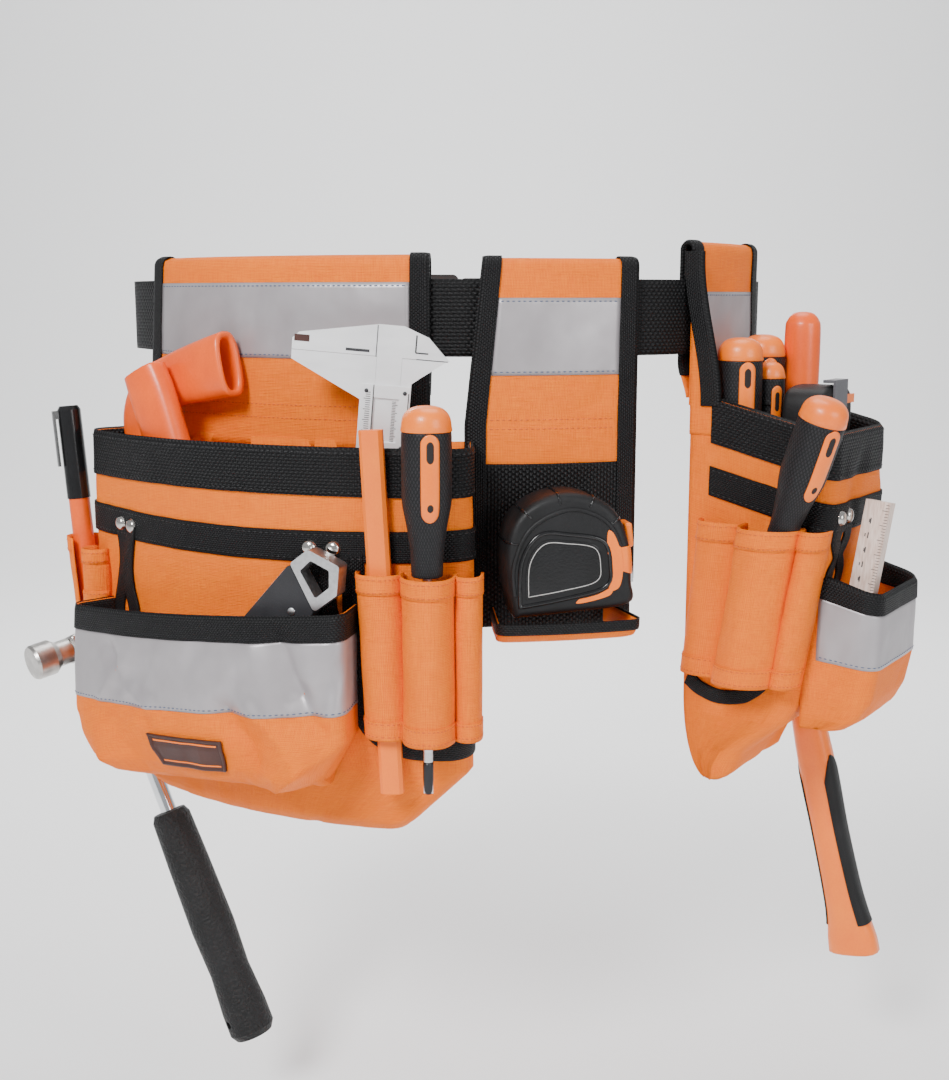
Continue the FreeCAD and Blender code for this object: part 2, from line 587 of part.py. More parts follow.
def sweep_leg(points, width, thick, end_width):
    """Flat-oval leg through points in the XZ plane, widest at its end."""
    hull = []
    for (x, z), w in zip(points, [width] * (len(points) - 1) + [end_width]):
        hull.append(Part.makeCylinder(w / 2, thick, Vector(x, thick / 2, z), Vector(0, -1, 0)))
    for k in range(len(points) - 1):
        (x0, z0), (x1, z1) = points[k], points[k + 1]
        w0 = width / 2
        w1 = end_width / 2 if k == len(points) - 2 else width / 2
        run = math.hypot(x1 - x0, z1 - z0)
        nx, nz = (z1 - z0) / run, -(x1 - x0) / run
        quad = [(x0 + nx * w0, z0 + nz * w0), (x1 + nx * w1, z1 + nz * w1),
                (x1 - nx * w1, z1 - nz * w1), (x0 - nx * w0, z0 - nz * w0)]
        hull.append(plate(quad, thick))
    return joined(hull)


WRENCH_TURN = -36.0
WRENCH_PIVOT_Z = -145.0


def make_wrench():
    """Pipe wrench with sleeved legs: one straight leg, one bent leg that ends in an open sleeve."""
    facing = direction(WRENCH_TURN)
    front = polar(FRONT_AXIS, 322.5, WRENCH_TURN)
    back = polar(FRONT_AXIS, 300.5, WRENCH_TURN)
    straight = sweep_leg([(8, WRENCH_PIVOT_Z), (-18, -84), (-38, -38)], 28, 19, 28)
    jaw = sweep_leg([(8, WRENCH_PIVOT_Z), (20, -178), (8, -205)], 24, 19, 16)
    pin = Part.makeCylinder(5, 41.5, Vector(8, 31.4, WRENCH_PIVOT_Z), Vector(0, -1, 0))
    straight_leg = placed(joined([straight, jaw, pin]), front, Vector(0, 0, 1), facing)
    bent = sweep_leg([(8, WRENCH_PIVOT_Z), (-62, -96), (-66, -62), (-20, -42), (14, -32)], 26, 19, 38)
    fork = sweep_leg([(8, WRENCH_PIVOT_Z), (-14, -178), (-4, -205)], 24, 19, 16)
    mouth = plate([(-16, -51), (33, -36), (28, -14), (-22, -30)], 12.5)
    bore = Part.makeCylinder(5.08, 60, Vector(8, 30, WRENCH_PIVOT_Z), Vector(0, -1, 0))
    bent_leg = joined([bent, fork]).cut(bore).cut(mouth)
    save("wrench_straight_leg", straight_leg)
    save("wrench_bent_leg", placed(bent_leg, back, Vector(0, 0, 1), facing))


def make_caliper():
    """Vernier caliper: fixed beam with its jaw on the left, sliding jaw on the right."""
    origin = Vector(-31, -168, -4)
    up = Vector(math.sin(math.radians(5)), 0, math.cos(math.radians(5)))
    beam = plate([(-8, -235), (8, -235), (8, -20), (38, -20), (24, -6), (8, 0), (-8, 0), (-58, -9),
                  (-62, -13), (-62, -20), (-8, -20)], 3.6)
    jaws = [(-62, -20.3), (36, -20.3), (20, -32), (15, -36), (15, -80), (-17, -80), (-17, -48), (-62, -26)]
    channel = box((-8.1, -1.9, -90), (8.1, 1.9, 0))
    slider = plate(jaws, 3.6).cut(channel)
    cheeks = box((-17, -3.4, -80), (15, 3.4, -38)).cut(channel)
    window = box((-8.1, -4, -74), (8.1, 0, -46))
    thumb = Part.makeCylinder(5, 3.4, Vector(17, 1.7, -66), Vector(0, -1, 0))
    save("caliper_beam", placed(beam, origin, up))
    save("caliper_slider", placed(joined([slider, cheeks.cut(window), thumb]), origin, up))


KNIFE_ANGLE = 48.0
KNIFE_RADIUS = 353.5         # middle of the knife, inside the front pocket


def make_knife():
    """Utility knife laid slantwise in the front pocket, with a cast loop at its end."""
    tilt = math.radians(KNIFE_ANGLE)
    facing = direction(-18)
    up = direction(72) * math.cos(tilt) + Vector(0, 0, math.sin(tilt))
    head = polar(FRONT_AXIS, KNIFE_RADIUS, -13.6, -146)
    body = plate([(-15, -142), (11, -142), (15, -120), (15, -34), (-17, -22), (-17, -120)], 13, 1.5)
    loop = plate([(-17, -21.4), (15, -33.4), (19, -14), (8, 1), (-14, -6)], 13, 2.5)
    hole = plate([(-9, -20), (10, -26), (12, -14), (5, -6), (-8, -10)], 20, 1.5)
    save("knife_body", placed(body.cut(box((-3, -7, -118), (3, -4.4, -60))), head, up, facing))
    save("knife_loop", placed(loop.cut(hole), head, up, facing))
    save("knife_slider", placed(box((-2.7, -8.2, -84), (2.7, -4.6, -66)), head, up, facing))


def make_claw_hammer():
    """Left hammer: steel head across, chromed shaft, thick rubber grip."""
    up = CLAW_DOWN * -1
    across = Vector(-0.77, -0.60, 0)
    across = (across - up * across.dot(up)).normalize()
    face = lathe([(0, 28), (9.5, 28), (9.5, 38), (13.2, 43), (13.2, 56), (12, 58), (0, 58)])
    neck = box((-11, -10, -24), (11, 10, 28))
    neck = neck.makeFillet(3, neck.Edges)
    peen = plate([(-10, -22), (10, -22), (3, -56), (-3, -56)], 18)
    head = joined([face, neck, peen])
    eye = Part.makeCylinder(6.05, 60, Vector(0, -30, 0), Vector(0, 1, 0))
    head = head.cut(eye)
    save("claw_hammer_head", placed(head, CLAW_CENTRE, across, CLAW_DOWN))
    shaft = Part.makeCylinder(6, 150, Vector(0, 0, -140))
    save("claw_hammer_shaft", placed(shaft, CLAW_CENTRE, up, across))
    grip = lathe([(0, -322), (14, -322), (17, -317), (17, -300), (15, -270), (16.5, -235), (15.5, -180),
                  (14.5, -146), (12, -141), (0, -141)])
    hole = Part.makeCylinder(3, 60, Vector(0, 30, -307), Vector(0, -1, 0))
    save("claw_hammer_grip", placed(grip.cut(hole), CLAW_CENTRE, up, across))


def make_sledge():
    """Right hammer: short square head on a glass-fibre handle with a flared butt."""
    up = SLEDGE_DOWN * -1
    across = (OUT - up * OUT.dot(up)).normalize()
    head = Part.makeBox(26, 26, 92, Vector(-13, -13, -46))
    head = head.makeChamfer(4, head.Edges)
    head = head.cut(Part.makeBox(15.2, 60, 19.2, Vector(-7.6, -30, -9.6)))
    save("club_hammer_head", placed(head, SLEDGE_CENTRE, across, SLEDGE_DOWN))
    outline = [(-9.5, 16), (-9.5, -60), (-12, -110), (-14, -160), (-13, -210), (-15, -262), (-21, -296),
               (-20, -305), (19, -305), (20, -298), (14, -262), (12, -210), (14, -160), (12, -110),
               (9.5, -60), (9.5, 16)]
    handle = plate(outline, 24)
    taper = plate([(-7.5, 16), (-7.5, -60), (-12, -160), (-12, -310), (12, -310), (12, -160), (7.5, -60),
                   (7.5, 16)], 60)
    taper = placed(taper, Vector(), Vector(0, 0, 1), Vector(1, 0, 0))
    handle = handle.common(taper)
    save("club_hammer_handle", placed(handle, SLEDGE_CENTRE, up, ALONG))


def make_tape():
    """Five-metre tape: case, rubber armour, blade with its hook, and a lock button."""
    up = Vector(-0.10, 0, 0.995)
    facing = direction(8)
    centre = polar(FRONT_AXIS, 315.5, 11.3, -148)
    outline = [(-38, -36), (38, -36), (40, -30), (40, 8), (30, 28), (12, 39), (-10, 39), (-28, 30), (-39, 10),
               (-40, -20)]
    case = plate(outline, 41, 3)
    mouth = box((-30, -14, -14), (45, 14, -9))
    save("tape_case", placed(case.cut(mouth), centre, up, facing))
    hook = box((40.6, -12, -24), (42.2, 12, -9)).fuse(box((-28, -12.5, -12), (41, 12.5, -11)))
    save("tape_blade", placed(hook, centre, up, facing))
    lock = box((40.3, -9, -2), (45.5, 9, 14))
    save("tape_lock", placed(lock.makeFillet(2, lock.Edges), centre, up, facing))


def make_pocket_tape():
    """Small tape inside the side pouch, with a clip plate on its back."""
    body = box((-27.5, -17, -62), (27.5, 13, 0))
    body = body.makeFillet(8, [e for e in body.Edges if abs(e.Vertexes[0].Y - e.Vertexes[-1].Y) > 20])
    clip = box((-12, -18.8, -50), (12, -17.2, 4)).fuse(box((-12, -18.8, 2), (12, -10, 4)))
    origin = at_hip(-5.5, 72.5, -46)
    save("pocket_tape_case", placed(body.cut(box((-13, -18, 0), (13, -9, 5))), origin, Vector(0, 0, 1), OUT))
    save("pocket_tape_clip", placed(clip, origin + Vector(0, 0, 0.2), Vector(0, 0, 1), OUT))


RULE_FOOT = at_hip(-28, 109.5, -258)
RULE_UP = Vector(0.16, 0.06, 0.98).normalize()


def make_rule():
    """Folding rule: six wooden slats closed into a stack."""
    slats = [Part.makeBox(17, 1.7, 138, Vector(-8.5, -5.4 + 1.8 * k, 0)) for k in range(6)]
    pins = [Part.makeCylinder(3, 10.7, Vector(0, 5.3, z), Vector(0, -1, 0)) for z in (8, 130)]
    stack = slats[0]
    for other in slats[1:] + pins:
        stack = stack.fuse(other)
    save("folding_rule", placed(stack, RULE_FOOT, RULE_UP, ALONG * -1))


make_belt()
make_buckle()
make_large_pouch()
make_large_rivets()
make_badge()
make_front_tubes()
make_side_tubes()
make_left_loop()
make_tape_holder()
make_side_pouch()
make_gusset_tubes()
make_right_loop()
make_drivers()
make_file_handle()
make_pencil()
make_marker()
make_wrench()
make_caliper()
make_knife()
make_claw_hammer()
make_sledge()
make_tape()
make_pocket_tape()
make_rule()
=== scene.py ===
# %% [markdown]
# # A loaded tool belt
# The real thing is a work belt: black webbing round the waist, three orange fabric pouches that
# hang from it, and hand tools in their pockets, tubes and loops. The hard parts, the sizes and the
# joints were designed first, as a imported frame. Here each of them gets its real surface.
# The frame is loaded before anything else, because every piece takes its place from it.

# %% Load the frame
import json
import math
import bmesh
import bpy
from mathutils import Matrix, Vector, noise


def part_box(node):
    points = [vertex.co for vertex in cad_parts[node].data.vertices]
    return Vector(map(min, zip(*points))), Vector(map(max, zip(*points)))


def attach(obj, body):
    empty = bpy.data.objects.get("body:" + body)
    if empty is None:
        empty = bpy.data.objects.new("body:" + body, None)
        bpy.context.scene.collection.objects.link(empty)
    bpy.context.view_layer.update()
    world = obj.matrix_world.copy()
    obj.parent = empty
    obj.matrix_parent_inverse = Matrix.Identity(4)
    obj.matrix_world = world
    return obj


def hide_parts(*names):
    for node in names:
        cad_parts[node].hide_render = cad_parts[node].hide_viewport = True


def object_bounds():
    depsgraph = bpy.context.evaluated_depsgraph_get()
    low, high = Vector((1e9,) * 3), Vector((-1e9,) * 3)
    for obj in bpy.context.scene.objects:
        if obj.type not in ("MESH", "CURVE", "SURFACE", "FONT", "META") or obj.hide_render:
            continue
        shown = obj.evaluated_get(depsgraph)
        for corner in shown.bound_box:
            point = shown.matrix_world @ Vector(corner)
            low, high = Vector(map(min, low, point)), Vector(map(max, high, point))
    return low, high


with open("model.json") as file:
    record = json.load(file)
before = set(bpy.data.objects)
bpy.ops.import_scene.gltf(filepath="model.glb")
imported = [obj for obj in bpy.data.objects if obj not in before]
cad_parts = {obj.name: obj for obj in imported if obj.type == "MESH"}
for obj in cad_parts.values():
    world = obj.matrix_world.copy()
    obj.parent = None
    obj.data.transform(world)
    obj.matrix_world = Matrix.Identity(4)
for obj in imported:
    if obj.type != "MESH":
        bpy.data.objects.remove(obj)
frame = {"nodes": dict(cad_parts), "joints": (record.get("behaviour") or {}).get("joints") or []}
cad_low, cad_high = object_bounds()

# %% [markdown]
# ## Where things are
# A maker thinks in millimetres, so every shape here is drawn in millimetres and scaled once, to
# metres, when its mesh is finished. The belt is made of arcs, so most places are given as a
# radius, a direction and a height about the centre of an arc. Those centres are the points that
# the pouches turn about as they slide, and the joints say where those are.

# %% Directions and centres
MM = 0.001
UP = Vector((0, 0, 1))
JOINT = {joint["name"]: joint for joint in frame["joints"]}


def direction(degrees):
    """Level direction, counted from the wearer's front towards +X."""
    angle = math.radians(degrees)
    return Vector((math.sin(angle), -math.cos(angle), 0))


def polar(axis, radius, degrees, z=0.0):
    return axis + direction(degrees) * radius + UP * z


def between(first, last, share):
    """Value a share of the way from first to last, which never passes either."""
    return first + (last - first) * min(max(share, 0.0), 1.0)


def eased(share):
    """A share from 0 to 1 that starts and stops gently."""
    share = between(0, 1, share)
    return share * share * (3 - 2 * share)


def low(node):
    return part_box(node)[0] / MM


def high(node):
    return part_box(node)[1] / MM


FRONT_AXIS = Vector(JOINT["large_pouch_slide"]["pos_m"]) / MM
HIP_AXIS = Vector(JOINT["side_pouch_slide"]["pos_m"]) / MM
FRONT_AXIS.z = HIP_AXIS.z = 0.0
BELT_RADIUS = 280.0
print("front centre", FRONT_AXIS[:], "hip centre", HIP_AXIS[:])

# %% [markdown]
# ## Writing shader maths as sums
# A weave is a sum of waves, and a sum reads best as a sum. This small class wraps a socket and
# lets Python's own operators add the Math nodes. Every other node comes from one method, which
# sets a node's options first and then feeds its sockets.

# %% The shader helper
class Value:
    """A socket, or a bare tree, from which more nodes can be made."""

    def __init__(self, tree, socket=None):
        self.tree = tree
        self.socket = socket

    def node(self, kind, settings=None, inputs=None, output=0):
        made = self.tree.nodes.new(kind)
        for name, value in (settings or {}).items():
            if name == "stops":
                ramp = made.color_ramp.elements
                while len(ramp) < len(value):
                    ramp.new(0.5)
                for stop, (place, colour) in zip(ramp, value):
                    stop.position = place
                    stop.color = colour
            else:
                setattr(made, name, value)
        for name, value in (inputs or {}).items():
            if isinstance(value, Value):
                self.tree.links.new(value.socket, made.inputs[name])
            else:
                made.inputs[name].default_value = value
        return Value(self.tree, made.outputs[output])

    def maths(self, operation, *others):
        inputs = dict(enumerate((self, *others)))
        return self.node("ShaderNodeMath", {"operation": operation}, inputs)

    def __add__(self, other):
        return self.maths("ADD", other)

    __radd__ = __add__

    def __mul__(self, other):
        return self.maths("MULTIPLY", other)

    __rmul__ = __mul__

    def __sub__(self, other):
        return self.maths("SUBTRACT", other)

    def __rsub__(self, other):
        return self * -1.0 + other

    def __pow__(self, other):
        return self.maths("POWER", other)

    def wave(self):
        """Sine of this many turns, from 0 to 1."""
        return (self * math.tau).maths("SINE") * 0.5 + 0.5

    def between(self, start, end):
        """0 below start, 1 above end, smooth between."""
        settings = {"interpolation_type": "SMOOTHSTEP"}
        inputs = {"Value": self, "From Min": start, "From Max": end}
        return self.node("ShaderNodeMapRange", settings, inputs)

    def noise(self, scale, detail=2.0, stretch=(1, 1, 1)):
        """Cloudy values about 0.5 over a vector."""
        place = self.node("ShaderNodeMapping", {}, {"Vector": self, "Scale": stretch})
        return self.node("ShaderNodeTexNoise", {}, {"Vector": place, "Scale": scale, "Detail": detail})

    def axes(self):
        parts = self.node("ShaderNodeSeparateXYZ", {}, {"Vector": self}).socket.node
        return [Value(self.tree, out) for out in parts.outputs]

    def tint(self, first, second):
        """A colour that goes from first to second with this value."""
        return self.node("ShaderNodeMix", {"data_type": "RGBA"},
                         {"Factor": self, 6: first, 7: second}, 2)


def colour(red, green, blue):
    return (red, green, blue, 1.0)


def material(name, **constants):
    """A new material and a Value to build its nodes from; constants go on the shader itself."""
    made = bpy.data.materials.new(name)
    made.use_nodes = True
    shader = made.node_tree.nodes["Principled BSDF"]
    for socket, value in constants.items():
        shader.inputs[socket.replace("_", " ")].default_value = value
    return made, Value(made.node_tree)


def feed(made, height=None, depth=0.0, **sockets):
    """Links what varies to the shader; height in metres of relief becomes its bump."""
    shader = made.node_tree.nodes["Principled BSDF"]
    for socket, value in sockets.items():
        made.node_tree.links.new(value.socket, shader.inputs[socket.replace("_", " ")])
    if height is not None:
        bump = height.node("ShaderNodeBump", {}, {"Height": height, "Distance": depth, "Strength": 1.0})
        made.node_tree.links.new(bump.socket, shader.inputs["Normal"])
    return made


def cloth_place(start):
    """Place on the cloth, in metres along and across it, with a straight copy of each."""
    uv = start.node("ShaderNodeTexCoord", {}, {}, "UV")
    along, across, _ = uv.axes()
    return uv, along, across


def object_place(start):
    return start.node("ShaderNodeTexCoord", {}, {}, "Object")

# %% [markdown]
# ## Fabric
# The pouches are oxford cloth: thick polyester yarns, crossed one over one, coated on the back.
# Two things make it read as cloth. Close up, each yarn is a small hump, and its colour is painted
# lighter on top and darker in the valleys between yarns: painted shade. From further away, yarns
# differ in thickness, so faint lines run both ways, in the yarns' own uneven tone. The humps are
# two waves multiplied, and the lines are noise stretched along each yarn.

# %% Orange oxford cloth
YARN = 0.001


def oxford(name, light, dark, roughness=0.62):
    made, start = material(name, Roughness=roughness, Specular_IOR_Level=0.2)
    uv, along, across = cloth_place(start)
    weft = (across * (1 / YARN)).wave()
    warp = (along * (1 / YARN)).wave()
    over = (along * (0.5 / YARN) + across * (0.5 / YARN)).wave()
    humps = weft * over + warp * (1 - over)
    lines = uv.noise(1.0, 3.0, (90, 1500, 1)) + uv.noise(1.0, 3.0, (1500, 90, 1))
    cloudy = uv.noise(14.0, 4.0)
    # The colour mixes painted shade, darker in the valleys between the yarn humps, with the cloth's own
    # uneven tone from the lines and the clouds.
    shade = humps * 0.5 + lines * 0.75 + cloudy * 0.25 - 0.62
    return feed(made, humps * 0.6 + lines * 1.1 + uv.noise(160.0, 3.0) * 0.8, 0.00042,
                Base_Color=shade.between(0.05, 0.95).tint(dark, light),
                Roughness=cloudy * 0.12 + (roughness - 0.08))


ORANGE_CLOTH = oxford("orange_oxford", colour(1.0, 0.235, 0.002), colour(0.84, 0.125, 0.001))
print("cloth:", ORANGE_CLOTH.name)

# %% [markdown]
# ## Webbing and binding
# Webbing is woven much more thickly than the cloth, so its surface is a grid of small pillows.
# It is made of the same yarn in two weights: coarse tape for pocket mouths and the belt, and a
# finer ribbed tape that binds cut edges. Black on black only shows through its relief and sheen,
# so the relief is strong, and its colour is painted lighter on each pillow's top, a painted
# highlight, and darker in the grooves, a painted shade.

# %% Black webbing
def webbing(name, pitch, deep, light):
    made, start = material(name, Roughness=0.5, Specular_IOR_Level=0.22)
    uv, along, across = cloth_place(start)
    rows = across * (1 / pitch)
    rib = rows.maths("FRACT") * 2 - 1
    row = rows.maths("FLOOR")
    step = (along * (0.62 / pitch) + row * 0.5).wave()
    pillow = (1 - rib * rib) * (step * 0.75 + 0.25)
    fuzz = uv.noise(900.0, 3.0)
    # Painted light: each pillow's top is painted lighter, up to the light colour, as a painted highlight, and
    # the grooves darker as painted shade; the fuzz is the yarn's own uneven tone.
    return feed(made, pillow + fuzz * 0.35, deep,
                Base_Color=(pillow * 0.8 + fuzz * 0.4 - 0.2).between(0.1, 1.1).tint(
                    colour(0.0035, 0.0035, 0.004), colour(light, light, light * 1.06)),
                Roughness=fuzz * 0.2 + 0.45)


# The last number is how bright the painted highlight on the pillow tops is.
COARSE_WEB = webbing("coarse_black_webbing", 0.0021, 0.0011, 0.020)
FINE_WEB = webbing("fine_black_binding", 0.0014, 0.0007, 0.016)
BELT_WEB = webbing("belt_webbing", 0.0024, 0.0009, 0.014)

# %% [markdown]
# ## Reflective tape
# Reflective tape is a grey film of tiny glass beads glued to cloth. In soft light it is a plain
# satin grey, slightly paler where it faces the light, with creases where the cloth below it
# buckles. So it is part metal and quite rough, and its relief is long soft creases. Its colour is
# painted paler on the crowns of the creases and darker in their hollows: painted light and shade.

# %% Reflective tape and threads
def reflective(name):
    made, start = material(name, Metallic=0.35, Roughness=0.42, Specular_IOR_Level=0.5)
    uv = cloth_place(start)[0]
    crease = uv.noise(1.0, 2.0, (34, 26, 1))
    grain = uv.noise(1500.0, 2.0)
    # Painted light and shade: the colour is paler on the crease crowns and darker in the crease hollows, with
    # a cloudy tone of the tape's own.
    tone = crease * 0.6 + uv.noise(60.0, 3.0) * 0.3
    return feed(made, crease * 1.0 + grain * 0.03, 0.0016,
                Base_Color=tone.between(0.1, 0.9).tint(
                    colour(0.33, 0.305, 0.315), colour(0.44, 0.415, 0.43)),
                Roughness=grain * 0.1 + 0.36)


REFLECTIVE = reflective("reflective_tape")


def thread(name, tone):
    made, start = material(name, Roughness=0.5)
    place = object_place(start)
    twist = place.noise(2600.0, 2.0)
    dark = colour(*[part * 0.6 for part in tone])
    return feed(made, twist, 0.0002, Base_Color=twist.between(0.3, 0.7).tint(dark, colour(*tone)))


ORANGE_THREAD = thread("orange_thread", (0.85, 0.13, 0.012))
BLUE_THREAD = thread("grey_blue_thread", (0.10, 0.14, 0.24))
BLACK_THREAD = thread("black_thread", (0.02, 0.02, 0.022))
print("soft finishes made:", len(bpy.data.materials))

# %% [markdown]
# ## Plastics, rubber and metals
# Tool handles are two plastics moulded together: a hard glossy orange one and a soft black one
# with a fine pebbled or diamond surface. Metals are ground steel, polished chrome, nickel and a
# cast zinc. Each gets a small amount of wear and uneven gloss, because perfect surfaces look
# computed. These pieces have no cloth direction, so their patterns sit in the object's space.

# %% Hard finishes
def moulded(name, light, dark, roughness, pebble=0.0, pebble_size=700.0, coat=0.0, shine=0.5):
    made, start = material(name, Roughness=roughness, Coat_Weight=coat, Coat_Roughness=0.15,
                           Specular_IOR_Level=shine)
    place = object_place(start)
    cloudy = place.noise(35.0, 4.0)
    fine = place.noise(pebble_size, 2.0)
    scuff = place.noise(1.0, 4.0, (60, 60, 14))
    tone = cloudy * 0.6 + fine * 0.25 + scuff * 0.3
    return feed(made, fine * 1.0 + cloudy * 0.3, 0.00008 + pebble,
                Base_Color=tone.between(0.3, 0.85).tint(dark, light),
                Roughness=scuff * 0.18 + (roughness - 0.06))


ORANGE_PLASTIC = moulded("orange_plastic", colour(1.0, 0.215, 0.001), colour(0.88, 0.145, 0.001), 0.34,
                         coat=0.12)
DEEP_ORANGE = moulded("reddish_orange_plastic", colour(0.95, 0.125, 0.001), colour(0.76, 0.080, 0.001), 0.34,
                      coat=0.12)
ORANGE_PAINT = moulded("painted_orange_wood", colour(1.0, 0.21, 0.001), colour(0.90, 0.155, 0.001), 0.5)
PEBBLED = moulded("pebbled_black_rubber", colour(0.014, 0.014, 0.015), colour(0.006, 0.006, 0.006), 0.5,
                  pebble=0.0018, pebble_size=430.0, shine=0.28)
SOFT_BLACK = moulded("soft_black_rubber", colour(0.013, 0.013, 0.014), colour(0.006, 0.006, 0.006), 0.45,
                     pebble=0.00012, pebble_size=1400.0, shine=0.25)
GLOSS_BLACK = moulded("gloss_black_plastic", colour(0.010, 0.010, 0.011), colour(0.005, 0.005, 0.005), 0.16,
                      coat=0.3, shine=0.3)
BUCKLE_BLACK = moulded("buckle_black_plastic", colour(0.020, 0.020, 0.021), colour(0.011, 0.011, 0.011), 0.42)
DARK_GREY = moulded("dark_grey_plastic", colour(0.030, 0.030, 0.034), colour(0.018, 0.018, 0.020), 0.40,
                    pebble=0.0001, pebble_size=1500.0, shine=0.35)
MID_GREY = moulded("mid_grey_plastic", colour(0.12, 0.12, 0.13), colour(0.07, 0.07, 0.08), 0.36)
BADGE_BROWN = moulded("dark_brown_rubber", colour(0.060, 0.016, 0.010), colour(0.030, 0.008, 0.006), 0.45)
# Painted shade: the dark of the screwdrivers' uncut hanging holes, and also of their size marks.
HOLE_SHADE_AND_MARK = moulded("painted_hole_shade_and_size_mark", colour(0.010, 0.004, 0.003), colour(0.004, 0.002, 0.002), 0.7)


def metal(name, tone, roughness, brushed=(1, 1, 1), scale=60.0, wear=0.12, shine=1.0, shade=0.72):
    made, start = material(name, Metallic=shine, Roughness=roughness)
    place = object_place(start)
    lines = place.noise(scale, 4.0, brushed)
    cloudy = place.noise(25.0, 3.0)
    dark = colour(*[part * shade for part in tone])
    mixed = lines * 0.6 + cloudy * 0.5
    return feed(made, lines, 0.00006, Base_Color=mixed.between(0.25, 0.8).tint(dark, colour(*tone)),
                Roughness=cloudy * wear + lines * wear + (roughness - wear))


SATIN_STEEL = metal("satin_steel", (0.78, 0.79, 0.80), 0.36, (1, 1, 14), 60.0)
CHROME = metal("polished_chrome", (0.82, 0.83, 0.85), 0.12, wear=0.05)
NICKEL = metal("polished_nickel", (0.66, 0.63, 0.59), 0.16, wear=0.07)
CAST_ZINC = metal("cast_zinc", (0.70, 0.70, 0.71), 0.38, scale=400.0)
WORN_STEEL = metal("worn_hammer_steel", (0.62, 0.60, 0.57), 0.34, scale=90.0, wear=0.2)
BLACK_OXIDE = metal("black_oxide_tip", (0.06, 0.06, 0.065), 0.42)
print("finishes:", len(bpy.data.materials))

# %% [markdown]
# ## Finishing a piece
# Each piece is drawn in its own small mesh. When it is done it is scaled to metres, given its
# finish, and tied to the body that carries it. The frame's plain solids that it stands for are
# hidden: they stay behind as the shapes that collide.

# %% Finish a mesh and tie it to its body
def piece(name, bm, finish, body, replaces=(), thick=0.0, round_edges=0.0, smooth=True):
    bmesh.ops.scale(bm, vec=(MM, MM, MM), verts=bm.verts)
    mesh = bpy.data.meshes.new(name)
    bm.to_mesh(mesh)
    bm.free()
    made = bpy.data.objects.new(name, mesh)
    bpy.context.scene.collection.objects.link(made)
    for one in finish if isinstance(finish, (list, tuple)) else [finish]:
        mesh.materials.append(one)
    mesh.shade_smooth() if smooth else mesh.shade_flat()
    if thick:
        wall = made.modifiers.new("thickness", "SOLIDIFY")
        wall.thickness = thick * MM
        wall.offset = 0.0
    if round_edges:
        soft = made.modifiers.new("edges", "BEVEL")
        soft.width = round_edges * MM
        soft.segments = 2
        soft.limit_method = "ANGLE"
        soft.harden_normals = False
    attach(made, body)
    if replaces:
        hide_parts(*replaces)
    return made

# %% [markdown]
# ## One way to make every sewn piece
# Cloth is cut flat and then bent, so it is modelled the same way: a flat grid, whose two sides are
# distances along the cloth, is carried onto a surface. A surface is any rule that turns a distance
# along, a distance down and a height above the cloth into a place. Tape, thread and labels then
# lie on a bag by using the bag's own rule with a little more height, and they follow its creases.
# The grid's flat size is also its UV map, so the weave keeps its true scale.

# %% Grids carried onto a surface
def sheet_mesh(shape, first, second, step=4.0, turned=False, closed=False):
    """Grid over the spans first and second, in millimetres, moved by shape(a, b)."""
    (a0, a1), (b0, b1) = first, second
    columns = max(2, round(abs(a1 - a0) / step))
    rows = max(2, round(abs(b1 - b0) / step))
    bm = bmesh.new()
    bmesh.ops.create_grid(bm, x_segments=columns, y_segments=rows, size=0.5)
    layer = bm.loops.layers.uv.new("cloth")
    for vert in bm.verts:
        vert.co = (a0 + (vert.co.x + 0.5) * (a1 - a0), b0 + (vert.co.y + 0.5) * (b1 - b0), 0)
    for face in bm.faces:
        for loop in face.loops:
            flat = loop.vert.co * MM
            loop[layer].uv = (flat.y, flat.x) if turned else (flat.x, flat.y)
    for vert in bm.verts:
        vert.co = shape(vert.co.x, vert.co.y)
    if closed:
        bmesh.ops.remove_doubles(bm, verts=bm.verts, dist=0.01)
    return bm


CLOTH = 1.3
TAPE = 1.3


def cloth(name, surface, first, second, body, finish=None, off=0.0, thick=CLOTH,
          step=4.0, turned=False, replaces=(), cut=1.0):
    """A cut piece of fabric, made from a flat sheet; cut, the share of its rectangle that is used, has no
    effect.
    """
    bm = sheet_mesh(lambda a, b: surface(a, b, off), first, second, step, turned)
    made = piece(name, bm, finish or ORANGE_CLOTH, body, replaces, thick)
    size = (abs(first[1] - first[0]) * MM, abs(second[1] - second[0]) * MM)
    size[0] * size[1] * cut
    return made


def strap(name, surface, first, second, body, finish=None, off=0.0, thick=TAPE, step=3.0, turned=False,
          replaces=()):
    """Webbing sewn flat onto a surface."""
    bm = sheet_mesh(lambda a, b: surface(a, b, off), first, second, step, turned)
    return piece(name, bm, finish or COARSE_WEB, body, replaces, thick)


def folded_over(surface, edge, half=1.45):
    """Rule for tape folded over an edge; edge(s, depth) gives the place on the surface."""
    def shape(s, across):
        depth = abs(across) - 1.6 * math.exp(-(across / 1.4) ** 2)
        return surface(*edge(s, depth), half * math.tanh(across / 0.9))
    return shape


def binding(name, surface, edge, span, width, body, finish=None, half=1.45,
            inner=None, replaces=()):
    shape = folded_over(surface, edge, half)
    bm = sheet_mesh(shape, span, (-(inner or width), width), 1.6 if width < 14 else 2.5)
    return piece(name, bm, finish or FINE_WEB, body, replaces, 1.1)


def reflective_strip(name, surface, first, second, body, replaces=(), step=4.0):
    return cloth(name, surface, first, second, body, REFLECTIVE, off=0.95, thick=0.4,
                 step=step, replaces=replaces)


STITCH_SHARE = 0.68


